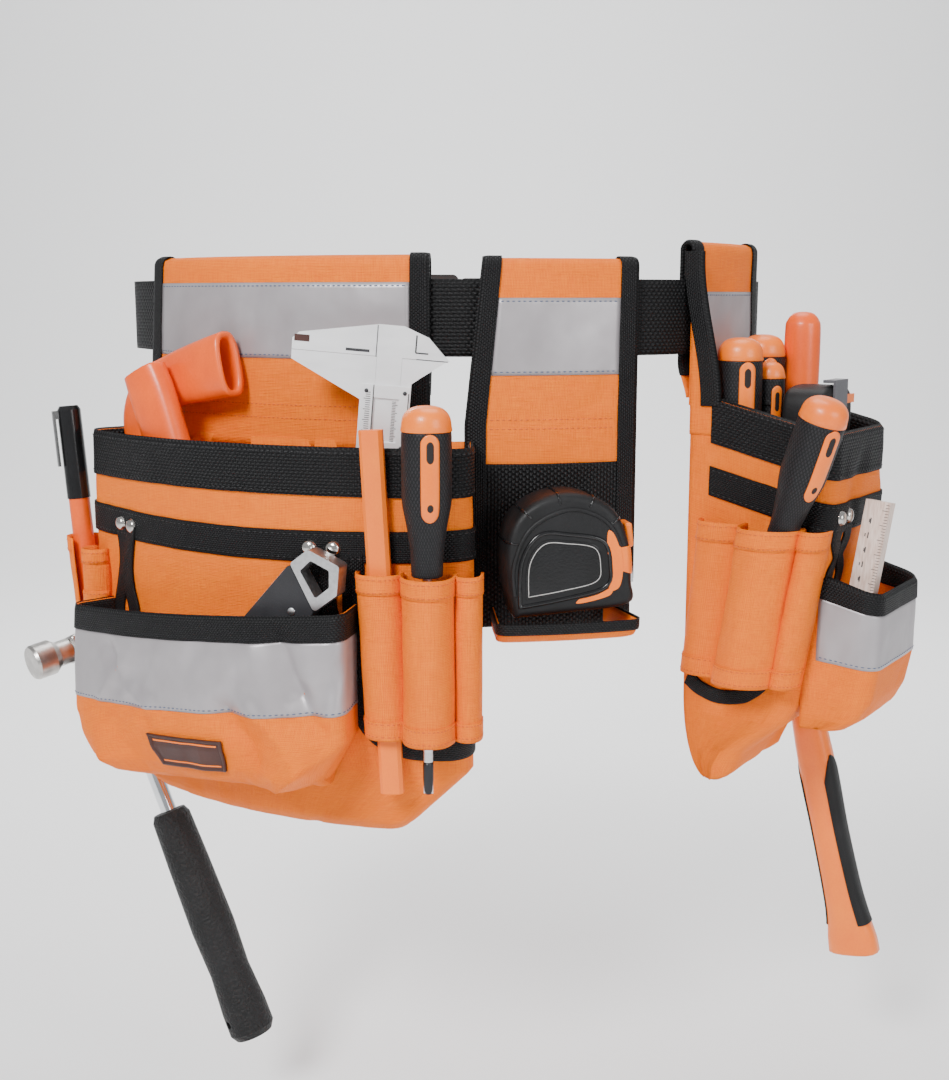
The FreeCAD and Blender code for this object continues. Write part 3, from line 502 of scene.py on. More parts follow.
def stitch_rows(surface, start, end, places, off, pitch):
    """Both ends of every stitch, in rows along the cloth, one row at each place down it."""
    count = max(2, round((end - start) / pitch))
    step = (end - start) / count
    return [(surface(start + k * step, b, off), surface(start + (k + STITCH_SHARE) * step, b, off))
            for b in places for k in range(count)]


def stitching(name, stitches, finish, body, thickness=0.42):
    """Every stitch as a small raised grain of thread."""
    bm = bmesh.new()
    for begin, end in stitches:
        run = end - begin
        if run.length < 0.2:
            continue
        turn = run.to_track_quat("X", "Z").to_matrix().to_4x4()
        size = Matrix.Diagonal((run.length / 2, thickness, thickness, 1))
        place = Matrix.Translation((begin + end) / 2) @ turn @ size
        bmesh.ops.create_icosphere(bm, subdivisions=1, radius=1.0, matrix=place)
    count = len(bm.faces) // 20
    made = piece(name, bm, finish, body)
    print(name, count, "stitches")
    return made

# %% [markdown]
# ## The rule for a panel
# A pouch hangs on the belt by its back panel, which folds over the top of the belt and is sewn to
# itself below it. Seen from the side, the fold is straight down, half a turn, straight down. The
# distance down the cloth is counted from the crest: positive on the front, negative on the back.

# %% Panels that fold over the belt
def crumple(a, b, seed, size=1.0):
    """Soft creases: low swells with sharper folds on them."""
    swell = noise.noise(Vector((a / 70, b / 55, seed)))
    fold = 1 - 2 * abs(noise.noise(Vector((a / 46, b / 90, seed + 7.3))))
    fine = noise.noise(Vector((a / 17, b / 24, seed + 3.1)))
    dent = max(0.0, noise.noise(Vector(((a + 0.4 * b) / 26, b / 44, seed + 11))) - 0.16)
    return size * (1.3 * swell + 0.7 * fold + 0.35 * fine - 5.0 * dent)


class Fold:
    """Surface of a panel that folds over the belt."""
    BEND = 4.7
    CREST = BEND * math.pi / 2

    def __init__(self, axis, belt_radius, left, right, top, seed, flare=0.0):
        self.axis, self.left, self.right, self.seed, self.flare = axis, left, right, seed, flare
        self.middle = belt_radius + 0.3
        self.centre_z = top - self.BEND
        self.width = math.radians(right - left) * (belt_radius + 5)

    def down(self, z):
        """Distance down the front to this height."""
        return self.CREST + self.centre_z - z

    def __call__(self, a, b, off=0.0):
        angle = self.left + (self.right - self.left) * a / self.width
        if b > 0:
            angle -= self.flare * between(0, 1, b / 110) * (1 - a / self.width)
        side = 1 if b > 0 else -1
        reach = abs(b) - self.CREST
        if reach <= 0:
            phi = b / self.BEND
            radius = self.middle + (self.BEND + off) * math.sin(phi)
            z = self.centre_z + (self.BEND + off) * math.cos(phi)
        else:
            radius = self.middle + side * (self.BEND + off)
            z = self.centre_z - reach
            if side < 0:
                radius += 7.6 * eased((-30 - z) / 30)
            else:
                edge = between(0, 1, min(a, self.width - a) / 25)
                radius += crumple(a, b, self.seed, 0.8) * edge * min(reach / 30, 1)
        return polar(self.axis, radius, angle, z)


def panel_edge(surface, at_right):
    """Edge rule for a panel's upright sides."""
    if at_right:
        return lambda s, depth: (surface.width - depth, s)
    return lambda s, depth: (depth, s)

# %% [markdown]
# ## The rule for a bag
# A bag's wall is one strip of cloth that leaves the back panel, turns a rounded corner, crosses
# the front, turns again and returns. Seen from above it is a walk: so far straight ahead, then a
# turn of so many degrees, and so on. Each height has its own walk, so the wall can taper, lose its
# lower corners and close at the bottom. The creases are added to the wall's own rule.

# %% Walks and walls
def walk(start, heading, legs, leg, share):
    """Place and outward heading after whole legs and a share of the next one."""
    point = start
    for k in range(leg + 1):
        length, turn = legs[k]
        part = share if k == leg else 1.0
        if abs(turn) < 0.01:
            point = point + direction(heading) * (length * part)
        else:
            radius = length / math.radians(turn)
            centre = point - direction(heading - 90) * radius
            heading += turn * part
            point = centre + direction(heading - 90) * radius
    return point, heading - 90


def leg_at(lengths, a):
    """The leg that a distance falls in, and its share of that leg."""
    a = min(max(a, 0.0), sum(lengths) - 0.001)
    for leg, length in enumerate(lengths):
        if a < length:
            return leg, a / length
        a -= length
    return len(lengths) - 1, 1.0


def smooth_line(points, steps=10):
    """Smooth curve through points of any size, as tuples."""
    ends = [points[0], *points, points[-1]]
    line = []
    for k in range(len(points) - 1):
        before, here, after, beyond = ends[k:k + 4]
        for step in range(steps):
            t = step / steps
            line.append(tuple(0.5 * (2 * h + (n - b) * t + (2 * b - 5 * h + 4 * n - y) * t * t
                                     + (3 * h - b - 3 * n + y) * t ** 3)
                              for b, h, n, y in zip(before, here, after, beyond)))
    return line + [tuple(points[-1])]


def on_profile(profile, distance):
    """Place on a side view's (out, z) line at this distance from its start."""
    for (r0, z0), (r1, z1) in zip(profile, profile[1:]):
        length = math.hypot(r1 - r0, z1 - z0)
        if distance <= length:
            share = distance / length
            return r0 + (r1 - r0) * share, z0 + (z1 - z0) * share
        distance -= length
    return profile[-1]


def profile_length(profile):
    return sum(math.dist(p, q) for p, q in zip(profile, profile[1:]))


class Wall:
    """Surface of a bag wall: a walk at each distance down its profile."""

    def __init__(self, profile, walk_at, seed, crease=1.0, tilt=None):
        self.profile, self.walk_at, self.seed, self.crease = profile, walk_at, seed, crease
        self.tilt = tilt or (lambda point, b: 0.0)
        self.lengths = [length for length, _ in walk_at(*profile[0])[2]]
        self.around = sum(self.lengths)
        self.tall = profile_length(profile)

    def __call__(self, a, b, off=0.0):
        out, z = on_profile(self.profile, max(b, 0.0))
        point, facing = walk(*self.walk_at(out, z), *leg_at(self.lengths, a))
        loose = between(0, 1, b / 40) * between(0, 1, min(a, self.around - a) / 20)
        puff = crumple(a, b, self.seed, self.crease) * loose
        height = z - min(b, 0.0) + self.tilt(point, b)
        return point + direction(facing) * (off + puff) + UP * height


def round_walk(axis, left, right, back, front, corner):
    """Walk round a bag whose front follows the belt's curve."""
    corner = min(corner, (front - back) / 2.2)
    lost = math.degrees(math.asin(corner / (front - corner)))
    side = (front - corner) * math.cos(math.radians(lost)) - back
    bend = (corner * math.radians(90 + lost), 90 + lost)
    span = right - left - 2 * lost
    legs = [(side, 0), bend, (front * math.radians(span), span), bend, (side, 0)]
    return polar(axis, back, left), left, legs


def front_place(walk_at, out, z, angle):
    """Distance round a bag to a direction on its front."""
    _, heading, legs = walk_at(out, z)
    first = heading + legs[1][1] - 90
    return legs[0][0] + legs[1][0] + math.radians(angle - first) * out


print("rules ready: Fold, Wall")

# %% [markdown]
# ## The belt
# The belt is a single loop of 50 mm webbing, flat against the waist, so its plan is the ring of
# arcs that the frame's belt has. The first four arcs are known from the front, the corner by the
# hip, the hip and the back corner; the last two close the ring, and their radii follow from that.

# %% Belt webbing
def belt_arcs():
    """(centre, radius, start, end) of each arc; the last two radii close the loop."""
    known = [(-62.0, 26.0, BELT_RADIUS), (26.0, 43.0, 70.0), (43.0, 72.0, 300.0), (72.0, 160.0, 75.0)]
    gap = Vector()
    for start, end, radius in known:
        gap = gap + (direction(end) - direction(start)) * radius
    rear = direction(200) - direction(160)
    left = direction(-62) - direction(200)
    scale = rear.x * left.y - rear.y * left.x
    known.append((160.0, 200.0, (gap.y * left.x - gap.x * left.y) / scale))
    known.append((200.0, 298.0, (gap.x * rear.y - gap.y * rear.x) / scale))
    arcs, centre, previous = [], FRONT_AXIS, BELT_RADIUS
    for start, end, radius in known:
        centre = centre + direction(start) * (previous - radius)
        arcs.append((centre, radius, start, end))
        previous = radius
    return arcs


ARCS = belt_arcs()
BUCKLE_HALF_ANGLE = 7.0
BELT_LENGTH = sum(radius * math.radians(end - start) for _, radius, start, end in ARCS)


def belt_surface(a, z, off=0.0):
    """Place on the belt at a distance round it, counted from its left front corner."""
    a = a % BELT_LENGTH
    for centre, radius, start, end in ARCS:
        length = radius * math.radians(end - start)
        if a <= length:
            break
        a -= length
    return polar(centre, radius + off, start + math.degrees(a / radius), z)


rear_start = sum(radius * math.radians(end - start) for _, radius, start, end in ARCS[:4])
rear_radius = ARCS[4][1]
gap_start = rear_start + rear_radius * math.radians(20 - BUCKLE_HALF_ANGLE)
gap_end = rear_start + rear_radius * math.radians(20 + BUCKLE_HALF_ANGLE)
belt_low, belt_high = low("belt_webbing").z, high("belt_webbing").z
strap("belt", belt_surface, (gap_end, gap_start + BELT_LENGTH), (belt_low, belt_high), "belt",
      BELT_WEB, thick=2.6, step=5.0, replaces=["belt_webbing"])
print("belt", round(BELT_LENGTH), "mm round")

# %% [markdown]
# ## The large pouch: panel and back
# The panel folds over the belt. Inside it a plain back carries on to the floor, wider than the
# panel, with both lower corners cut away. They are two cuts of cloth sewn together at the mouth.

# %% Large pouch panel and back
LARGE = Fold(FRONT_AXIS, BELT_RADIUS, -51.5, -5.0, high("large_pouch_panel").z, 1.7, 3.2)
RIM, FLOOR = high("large_pouch_bag").z, low("large_pouch_bag").z
BAG_FRONT, BAG_BACK, BAG_TOE, KNEE = 338.0, 286.0, 318.0, -270.0
cloth("large_panel", LARGE, (0, LARGE.width), (-LARGE.down(-72), LARGE.down(RIM - 6)), "large_pouch",
      replaces=["large_pouch_panel"], step=5.0)


def bag_sides(z):
    """Left and right edges of the bag, which come in towards the floor."""
    left = between(-53.2, -45.8, (-262 - z) / 78)
    right = between(0.5, -8.0, (-291 - z) / 49)
    return left, right


def large_back(a, z, off=0.0):
    left, right = bag_sides(z)
    return polar(FRONT_AXIS, BAG_BACK + off, left + (right - left) * a / 268, z)


cloth("large_back", large_back, (0, 268), (FLOOR, RIM), "large_pouch", off=-1.0, step=7.0)

# %% [markdown]
# ## The large pouch: bag wall
# From the mouth the front hangs straight, then slopes back to a narrow foot. The last few
# millimetres of the profile bring the wall back to the panel, which closes the bag.

# %% Large bag wall
def large_walk(out, z):
    left, right = bag_sides(z)
    return round_walk(FRONT_AXIS, left, right, BAG_BACK, out, 14.0)


bag_profile = [(BAG_FRONT, RIM), (BAG_FRONT, -180), (BAG_FRONT, KNEE), (BAG_TOE + 4, FLOOR + 10),
               (BAG_TOE - 6, FLOOR + 1.5), (BAG_BACK + 5, FLOOR + 0.5)]
LARGE_BAG = Wall(bag_profile, large_walk, 4.2, 1.1)
cloth("large_bag_wall", LARGE_BAG, (0, LARGE_BAG.around), (0, LARGE_BAG.tall), "large_pouch",
      replaces=["large_pouch_bag"])


def bag_at(angle, z):
    """Distance round the large bag to a direction on its front, at a height."""
    return front_place(large_walk, BAG_FRONT, z, angle)


print("large bag wall", round(LARGE_BAG.around), "by", round(LARGE_BAG.tall), "mm")

# %% [markdown]
# ## The large pouch: webbing
# The mouth is bound with 30 mm webbing folded inside. Below it a narrower webbing runs across and
# carries the rivets.

# %% Large pouch webbing
def rim_edge(s, depth):
    return s, depth


binding("large_mouth_webbing", LARGE_BAG, rim_edge, (3, LARGE_BAG.around - 3), 30.0, "large_pouch",
        COARSE_WEB, inner=14, replaces=["large_pouch_webbing"], half=1.5)


def sagging(surface, centre, half, dip):
    """The same surface, with its upper and lower edges dipping a little at the middle."""
    def shape(a, b, off=0.0):
        share = min(abs(a - centre) / half, 1.0)
        return surface(a, b + dip * (1 - share * share), off)
    return shape


DIPPED_BAG = sagging(LARGE_BAG, LARGE_BAG.around / 2, 150, 3.0)
strap("large_rivet_webbing", DIPPED_BAG, (6, LARGE_BAG.around - 6), (50, 70), "large_pouch", FINE_WEB,
      off=1.4)

# %% [markdown]
# ## Binding, reflective strip and seams of the panel
# Both upright edges of the panel are bound. The reflective strip lies between the bindings, and
# grey-blue thread holds it down along both edges. Two more rows close the belt tunnel.

# %% Large panel trim
def trim_panel(prefix, surface, body, lower, strip_top, strip_low, nodes_binding, nodes_strip):
    """Bindings, reflective strip and stitching of a panel."""
    for side, at_right in (("left", False), ("right", True)):
        binding(prefix + "_binding_" + side, surface, panel_edge(surface, at_right),
                (-surface.down(-50), surface.down(lower)), 12.0, body,
                replaces=nodes_binding if not at_right else ())
    inset = 11.6
    top, bottom = surface.down(strip_top), surface.down(strip_low)
    reflective_strip(prefix + "_reflective", surface, (inset, surface.width - inset), (top, bottom), body,
                     nodes_strip)
    rows = stitch_rows(surface, 13.5, surface.width - 13.5, (top + 2.2, bottom - 2.2), 1.25, 3.6)
    stitching(prefix + "_strip_stitches", rows, BLUE_THREAD, body)


trim_panel("large_panel", LARGE, "large_pouch", RIM + 1, 23, -27, ["large_pouch_binding"],
           ["large_pouch_reflectors"])
seam = LARGE.down(-58)
stitching("large_panel_seam", stitch_rows(LARGE, 14, LARGE.width - 14, (seam, seam + 9), 0.75, 3.4),
          ORANGE_THREAD, "large_pouch")
web_rows = stitch_rows(LARGE_BAG, 6, LARGE_BAG.around - 6, (2.6, 27.4), 2.2, 4.2)
web_rows += stitch_rows(DIPPED_BAG, 9, LARGE_BAG.around - 9, (52.5, 67.5), 2.1, 4.2)
stitching("large_webbing_stitches", web_rows, BLACK_THREAD, "large_pouch", 0.4)

# %% [markdown]
# ## The front pocket
# This pocket has a bellows wall, so it stands off the bag. It fills out like a small sack: widest
# above the floor, then rounding back under itself. Its corners are fuller than its middle, so the
# spare cloth buckles into a few long folds, which are listed one by one. Its mouth is bound, and a
# reflective strip runs round it below the binding.

# %% Front pocket
POCKET_RIM, POCKET_FLOOR = -188.0, low("large_pouch_front_pocket").z


def pocket_walk(out, z):
    left = between(-48.0, -43.5, (-262 - z) / 38)
    right = between(-12.0, -15.0, (-270 - z) / 30)
    return round_walk(FRONT_AXIS, left, right, BAG_FRONT - 1, out, 9.0)


pocket_profile = [(370.5, POCKET_RIM), (373, -215), (374.5, -258), (374.5, -276), (371, -289), (364, -299),
                  (353, -305), (341.5, POCKET_FLOOR - 5)]
POCKET_FIRST = 43.0
# Each fold runs from one (across, down) to another and has a half width and a height. Where both
# are the same place, it is a round swelling.
LEFT_CORNER, RIGHT_CORNER = (16, 104), (190, 104)
POCKET_FOLDS = [((34, 26), (50, 48), 12, -4.5), ((50, 48), (78, 64), 11, 3.2),
                ((28, 60), (46, 38), 11, 3.4), ((176, 10), (192, 50), 13, -5.5),
                ((192, 50), (210, 82), 12, -4.0), ((160, 20), (172, 60), 16, 3.0),
                ((138, 62), (166, 96), 15, -7.0), ((158, 60), (204, 98), 12, 4.5),
                (RIGHT_CORNER, RIGHT_CORNER, 36, 16.0), ((204, 98), (182, 132), 10, 6.5),
                ((220, 100), (202, 136), 14, -11.0), (LEFT_CORNER, LEFT_CORNER, 34, 11.0),
                (LEFT_CORNER, (66, 74), 12, 3.0), ((66, 120), (140, 126), 15, -3.5)]


def fold_height(across, down):
    """Sum of the pocket's own folds at a place on its front."""
    height = 0.0
    for (a0, b0), (a1, b1), wide, tall in POCKET_FOLDS:
        run = (a1 - a0) ** 2 + (b1 - b0) ** 2
        share = ((across - a0) * (a1 - a0) + (down - b0) * (b1 - b0)) / run if run else 0.0
        share = between(0, 1, share)
        gap = math.dist((across, down), (a0 + (a1 - a0) * share, b0 + (b1 - b0) * share))
        if gap < wide:
            height += tall * (1 - gap / wide) ** (1.5 if run else 1.0)
    return height


def pocket_tilt(point, b):
    """The pocket sags to the left as it hangs."""
    angle = math.degrees(math.atan2(point.x - FRONT_AXIS.x, FRONT_AXIS.y - point.y))
    return 0.5 * (angle + 30)


class Pocket(Wall):
    """The bellows pocket, with the folds that its full corners push into it."""

    def __call__(self, a, b, off=0.0):
        place = super().__call__(a, b, off)
        facing = (Vector((place.x, place.y, 0)) - FRONT_AXIS).normalized()
        return place + facing * fold_height(a - POCKET_FIRST, b) * between(0, 1, b / 20)


POCKET = Pocket(pocket_profile, pocket_walk, 9.4, 1.1, pocket_tilt)
cloth("front_pocket", POCKET, (0, POCKET.around), (0, POCKET.tall), "large_pouch", step=2.4,
      replaces=["large_pouch_front_pocket"])
binding("front_pocket_binding", POCKET, rim_edge, (1, POCKET.around - 1), 16.5, "large_pouch", FINE_WEB,
        inner=12)
reflective_strip("front_pocket_reflective", POCKET, (2, POCKET.around - 2), (16.2, 64), "large_pouch",
                 step=2.6)
stitching("front_pocket_stitches", stitch_rows(POCKET, 4, POCKET.around - 4, [62.0], 1.3, 3.6),
          BLUE_THREAD, "large_pouch")
print("front pocket", round(POCKET.around), "by", round(POCKET.tall), "mm")

# %% [markdown]
# ## Tubes for long tools
# A tool tube is a strip of cloth sewn down in valleys, so that it stands up in arches between
# them. Each arch is a flattened half ring about its tool. One strip makes the three tubes at the
# right of the pouch, so it is one sheet whose rule goes from arch to arch. Wide hems, sewn twice,
# stiffen its mouth and its foot.

# %% Rule for a row of tubes
class Tubes:
    """Surface of a strip that arches over tools; an arch is (foot, head, facing, width, depth)."""

    def __init__(self, arches, seed):
        self.arches, self.seed = arches, seed
        self.lengths = [0.82 * (width + 1.6 * depth) for *_, width, depth in arches]
        self.around = sum(self.lengths)

    def __call__(self, a, z, off=0.0):
        k, share = leg_at(self.lengths, a)
        foot, head, facing, width, depth = self.arches[k]
        centre = foot + (head - foot) * ((z - foot.z) / (head.z - foot.z))
        phi = math.pi * (share - 0.5)
        across = math.copysign(abs(math.sin(phi)) ** 0.85, phi)
        height = abs(math.cos(phi)) ** 0.62 * depth
        slack = 1 + 0.05 * noise.noise(Vector((share * self.lengths[k] / 18, z / 32, self.seed + k)))
        tangent = Vector((-facing.y, facing.x, 0))
        return (centre + tangent * across * (width / 2 * slack + off * 0.8)
                + facing * (height * slack + off * math.cos(phi)))


def make_tubes(name, surface, high_z, low_z, body, replaces=(), hem=12.0):
    """Strip of tubes with its hems and their stitching."""
    cloth(name, surface, (0, surface.around), (low_z, high_z), body, step=2.6, replaces=replaces)
    for label, start, end in (("top", high_z - hem, high_z + 0.6), ("foot", low_z - 0.6, low_z + hem)):
        cloth(name + "_hem_" + label, surface, (0.6, surface.around - 0.6), (start, end), body, off=1.05,
              thick=0.9, step=2.6)
    lines = [high_z - 2.2, high_z - hem + 1.6, low_z + 2.2, low_z + hem - 1.6]
    stitching(name + "_stitches", stitch_rows(surface, 1, surface.around - 1, lines, 1.7, 3.0),
              ORANGE_THREAD, body, thickness=0.36)


def arch_on(radius, foot_angle, head_angle, foot_z, head_z, width, depth):
    """Arch on the large bag's front, for a tool that may lean."""
    return (polar(FRONT_AXIS, radius, foot_angle, foot_z), polar(FRONT_AXIS, radius, head_angle, head_z),
            direction((foot_angle + head_angle) / 2), width, depth)


front_arches = [arch_on(BAG_FRONT, -8.25, -9.15, -265, -157, 29, 18.5),
                arch_on(BAG_FRONT, -3.9, -3.9, -265, -157, 32.5, 31),
                arch_on(BAG_FRONT - 1.5, 0.15, 0.15, -265, -157, 17, 20.5)]
FRONT_TUBES = Tubes(front_arches, 5.5)
make_tubes("front_tubes", FRONT_TUBES, -157, -262, "large_pouch", ["large_pouch_front_tubes"])
print("front tubes strip", round(FRONT_TUBES.around), "mm wide")

# %% [markdown]
# ## Tapes that curve
# Some tapes don't run straight: one goes down the pouch, turns and passes under the tubes. A route
# is a smooth curve through a few chosen places on the cloth, and the tape is a strip laid along
# it, at right angles to it all the way.

# %% Routes over a surface
class Route:
    """Smooth curve through places (a, b) on a surface, measured by its own length."""

    def __init__(self, places):
        self.line = [Vector((*place, 0)) for place in smooth_line(places, 12)]
        self.length = sum((q - p).length for p, q in zip(self.line, self.line[1:]))

    def at(self, s, across):
        s = min(max(s, 0.0), self.length - 0.001)
        for p, q in zip(self.line, self.line[1:]):
            run = (q - p).length
            if s <= run:
                break
            s -= run
        along = (q - p).normalized()
        place = p + along * s + Vector((-along.y, along.x, 0)) * across
        return place.x, place.y


def curved_tape(name, surface, places, width, body, finish=None, off=1.4, thick=TAPE):
    route = Route(places)

    def shape(s, across, height=0.0):
        return surface(*route.at(s, across), off + height)
    return strap(name, shape, (0, route.length), (-width / 2, width / 2), body, finish or FINE_WEB,
                 thick=thick, step=2.5)


right_a = bag_at(-12.3, -150)
last_a = LARGE_BAG.around
curved_tape("large_corner_tape", LARGE_BAG,
            [(right_a, 66), (right_a, 110), (right_a + 1, 150), (right_a + 12, 180), (right_a + 34, 193),
             (right_a + 70, 193), (last_a - 30, 188), (last_a - 6, 186)], 15, "large_pouch")
for label, angle in (("left", -45.8), ("middle", -43.3), ("right", -17.2), ("last", -14.6)):
    at = bag_at(angle, -150)
    sway = 2.2 if label in ("left", "right") else -2.2
    places = [(at, 62), (at + sway, 78), (at + sway * 1.6, 92), (at + sway, 106), (at - sway, 122),
              (at, 138)]
    curved_tape("large_hanger_" + label, LARGE_BAG, places, 11.5, "large_pouch",
                off=1.5 if sway > 0 else 2.3)
print("corner tape from", round(right_a), "to", round(last_a), "mm round the bag")

# %% [markdown]
# ## Side tubes and hammer loop of the large pouch
# Round the left corner there is a tube for a marker and a short empty one. The hammer hangs in a
# loop of webbing: a strip that leaves the bag, turns twice and comes back.

# %% Large pouch side tubes and loop
marker_up = Vector(JOINT["marker_pull"]["axis"])
marker_foot = (low("marker_barrel") + high("marker_barrel")) / 2
marker_foot = marker_foot + marker_up * (-246 - marker_foot.z)
GUSSET_HEADING = -143.2
gusset_out = direction(GUSSET_HEADING)
marker_foot -= gusset_out * 8
MARKER_TUBE = Tubes([(marker_foot, marker_foot + marker_up * 88, gusset_out, 24, 17.4)], 2.2)
make_tubes("marker_tube", MARKER_TUBE, -158, -243, "large_pouch", ["large_pouch_side_tubes"], 10)
SPARE_TUBE = Tubes([arch_on(BAG_FRONT - 1, -50.3, -50.3, -203, -163, 18, 15.8)], 8.1)
make_tubes("short_tube", SPARE_TUBE, -163, -203, "large_pouch", hem=10)


def loop_surface(root, heading, width, reach, corner=12.0):
    """Webbing loop that leaves its root and returns; a is measured round it and b up it."""
    side = direction(heading - 90)
    bend = (corner * math.pi / 2, 90)
    legs = [(reach - corner, 0), bend, (width - 2 * corner, 0), bend, (reach - corner, 0)]
    start = root + side * (width / 2)
    lengths = [length for length, _ in legs]

    def shape(a, b, off=0.0):
        point, facing = walk(start, heading, legs, *leg_at(lengths, a))
        return point + direction(facing) * off + UP * b
    return shape, sum(lengths)


def hammer_loop(name, root, heading, width, reach, height, body, node):
    shape, total = loop_surface(root, heading, width, reach)
    strap(name, shape, (0, total), (0, height), body, COARSE_WEB, off=-0.7, replaces=[node], step=2.5)
    stitching(name + "_stitches", stitch_rows(shape, 2, total - 2, (2.5, height - 2.5), 0.15, 4.2),
              BLACK_THREAD, body, 0.4)


loop_root = polar(FRONT_AXIS, 315, -53.2, low("large_pouch_hammer_loop").z)
hammer_loop("large_loop", loop_root, GUSSET_HEADING, 48, 50, 22, "large_pouch", "large_pouch_hammer_loop")

# %% [markdown]
# ## Rivets and label
# Where a strap takes a tool's weight, the sewing is backed by rivets: nickel caps with a domed
# crown on a thin flange. One outline, spun about its middle, makes a cap. The label is a moulded
# rubber parallelogram with a raised rim and two thin lines, and it is left blank.

# %% Rivets and the blank label
def outward(surface, a, b):
    return (surface(a, b, 5.0) - surface(a, b, 0.0)).normalized()


def spun(bm, outline, place, steps=24):
    """Spin an outline of (radius, height) about an axis and put it at a place."""
    made = [bm.verts.new((radius, 0, z)) for radius, z in outline]
    edges = [bm.edges.new(pair) for pair in zip(made, made[1:])]
    spin = bmesh.ops.spin(bm, geom=made + edges, axis=(0, 0, 1), cent=(0, 0, 0), steps=steps,
                          angle=math.tau, use_merge=True)
    ring = {v for v in spin["geom_last"] if isinstance(v, bmesh.types.BMVert)}
    seen = set(made) | ring
    todo = list(seen)
    while todo:
        for edge in todo.pop().link_edges:
            for vert in edge.verts:
                if vert not in seen:
                    seen.add(vert)
                    todo.append(vert)
    bmesh.ops.transform(bm, matrix=place, verts=list(seen))
    bmesh.ops.remove_doubles(bm, verts=list(seen), dist=0.001)
    bmesh.ops.recalc_face_normals(bm, faces=bm.faces)


def upright_at(point, up, front=Vector((0, -1, 0))):
    """Matrix that carries local +Z to up and local -Y as near to front as it can."""
    up = up.normalized()
    side = (-front).cross(up).normalized()
    back = up.cross(side)
    return Matrix.Translation(point) @ Matrix((side, back, up)).transposed().to_4x4()


CAP = [(0, 0), (5.4, 0), (5.5, 0.5), (5.0, 0.9), (4.9, 1.2), (4.5, 2.0), (3.7, 2.7), (2.4, 3.2),
       (1.1, 3.4), (0, 3.45)]


def rivets(name, surface, places, body, node):
    bm = bmesh.new()
    for a, b in places:
        out = outward(surface, a, b)
        spun(bm, CAP, upright_at(surface(a, b, 1.6), out, UP), 20)
    return piece(name, bm, NICKEL, body, [node])


rivet_places = [(bag_at(angle, -141), 61) for angle in (-45.8, -43.3, -17.2, -14.4)]
rivets("large_rivets", DIPPED_BAG, rivet_places, "large_pouch", "large_pouch_rivets")
LABEL_AT = (front_place(pocket_walk, *pocket_profile[0], -29.5), 92.0)
LABEL_HALF, LABEL_TALL, LABEL_RIM = 31.0, 11.0, 1.5
LABEL_SLANT, LABEL_SLOPE = 0.2, math.radians(1)


def label_surface(x, y, off=0.0):
    """Leaning label on the pocket, with x and y measured from its middle."""
    x = x + LABEL_SLANT * y
    a = LABEL_AT[0] + x * math.cos(LABEL_SLOPE)
    b = LABEL_AT[1] + y + x * math.sin(LABEL_SLOPE)
    return POCKET(a, b, off)


def label_relief(x, y, off=0.0):
    inside = min(LABEL_HALF - abs(x), LABEL_TALL - abs(y))
    return label_surface(x, y, off + (0.9 if inside < LABEL_RIM else 0.0))


strap("label", label_relief, (-LABEL_HALF, LABEL_HALF), (-LABEL_TALL, LABEL_TALL), "large_pouch",
      BADGE_BROWN, off=1.7, thick=1.8, step=0.75, replaces=["large_pouch_badge"])
for line_name, y in (("upper", -7.4), ("lower", 7.4)):
    strap("label_line_" + line_name, label_surface, (-27, 27), (y - 0.55, y + 0.55), "large_pouch",
          ORANGE_PLASTIC, off=2.7, thick=0.5, step=1.0)

# %% [markdown]
# ## The tape holder
# The middle piece is a narrow panel like the others, but below its orange cloth it is all wide
# black webbing, so that a tape measure's clip doesn't wear it out. A shallow tray carries the case.

# %% Tape holder
HOLDER = Fold(FRONT_AXIS, BELT_RADIUS, 2.2, 23.2, high("tape_holder_panel").z, 6.6, 2.4)
holder_floor = low("tape_holder_panel").z
cloth("holder_panel", HOLDER, (0, HOLDER.width), (-HOLDER.down(-64), HOLDER.down(-97)), "tape_holder",
      replaces=["tape_holder_panel"])
trim_panel("holder_panel", HOLDER, "tape_holder", -176, 13, -37, ["tape_holder_webbing"],
           ["tape_holder_reflector"])
strap("holder_wide_webbing", HOLDER, (1.5, HOLDER.width - 1.5),
      (HOLDER.down(-95), HOLDER.down(holder_floor)), "tape_holder", COARSE_WEB, off=0.3, thick=2.0,
      turned=True)
seam = HOLDER.down(-66)
stitching("holder_seams", stitch_rows(HOLDER, 14, HOLDER.width - 14, (seam, seam + 6), 0.75, 3.4),
          ORANGE_THREAD, "tape_holder")


def tray_walk(out, _):
    return round_walk(FRONT_AXIS, 3.4, 18.9, BAG_BACK + 1, out, 6.0)


tray_top, tray_low = -191.0, low("tape_holder_pocket").z
tray_profile = [(343.5, tray_top), (343, -196), (339, -201), (330, -204), (300, tray_low + 1)]
TRAY = Wall(tray_profile, tray_walk, 3.3, 0.25)
cloth("holder_tray", TRAY, (0, TRAY.around), (0, TRAY.tall), "tape_holder", step=3.0,
      replaces=["tape_holder_pocket"], cut=0.7)
strap("holder_tray_webbing", TRAY, (2, TRAY.around - 2), (-1.2, 6), "tape_holder", FINE_WEB, off=1.2,
      step=1.8)
print("tape holder", round(HOLDER.width), "mm wide")

# %% [markdown]
# ## The side pouch: panel and bag
# The side pouch sits over the hip and looks sideways, so its flat gusset faces the front. Its
# mouth slopes down and away from the body. The slope is a lift added to the wall's own rule: full
# at the mouth, and fading to nothing above the floor.

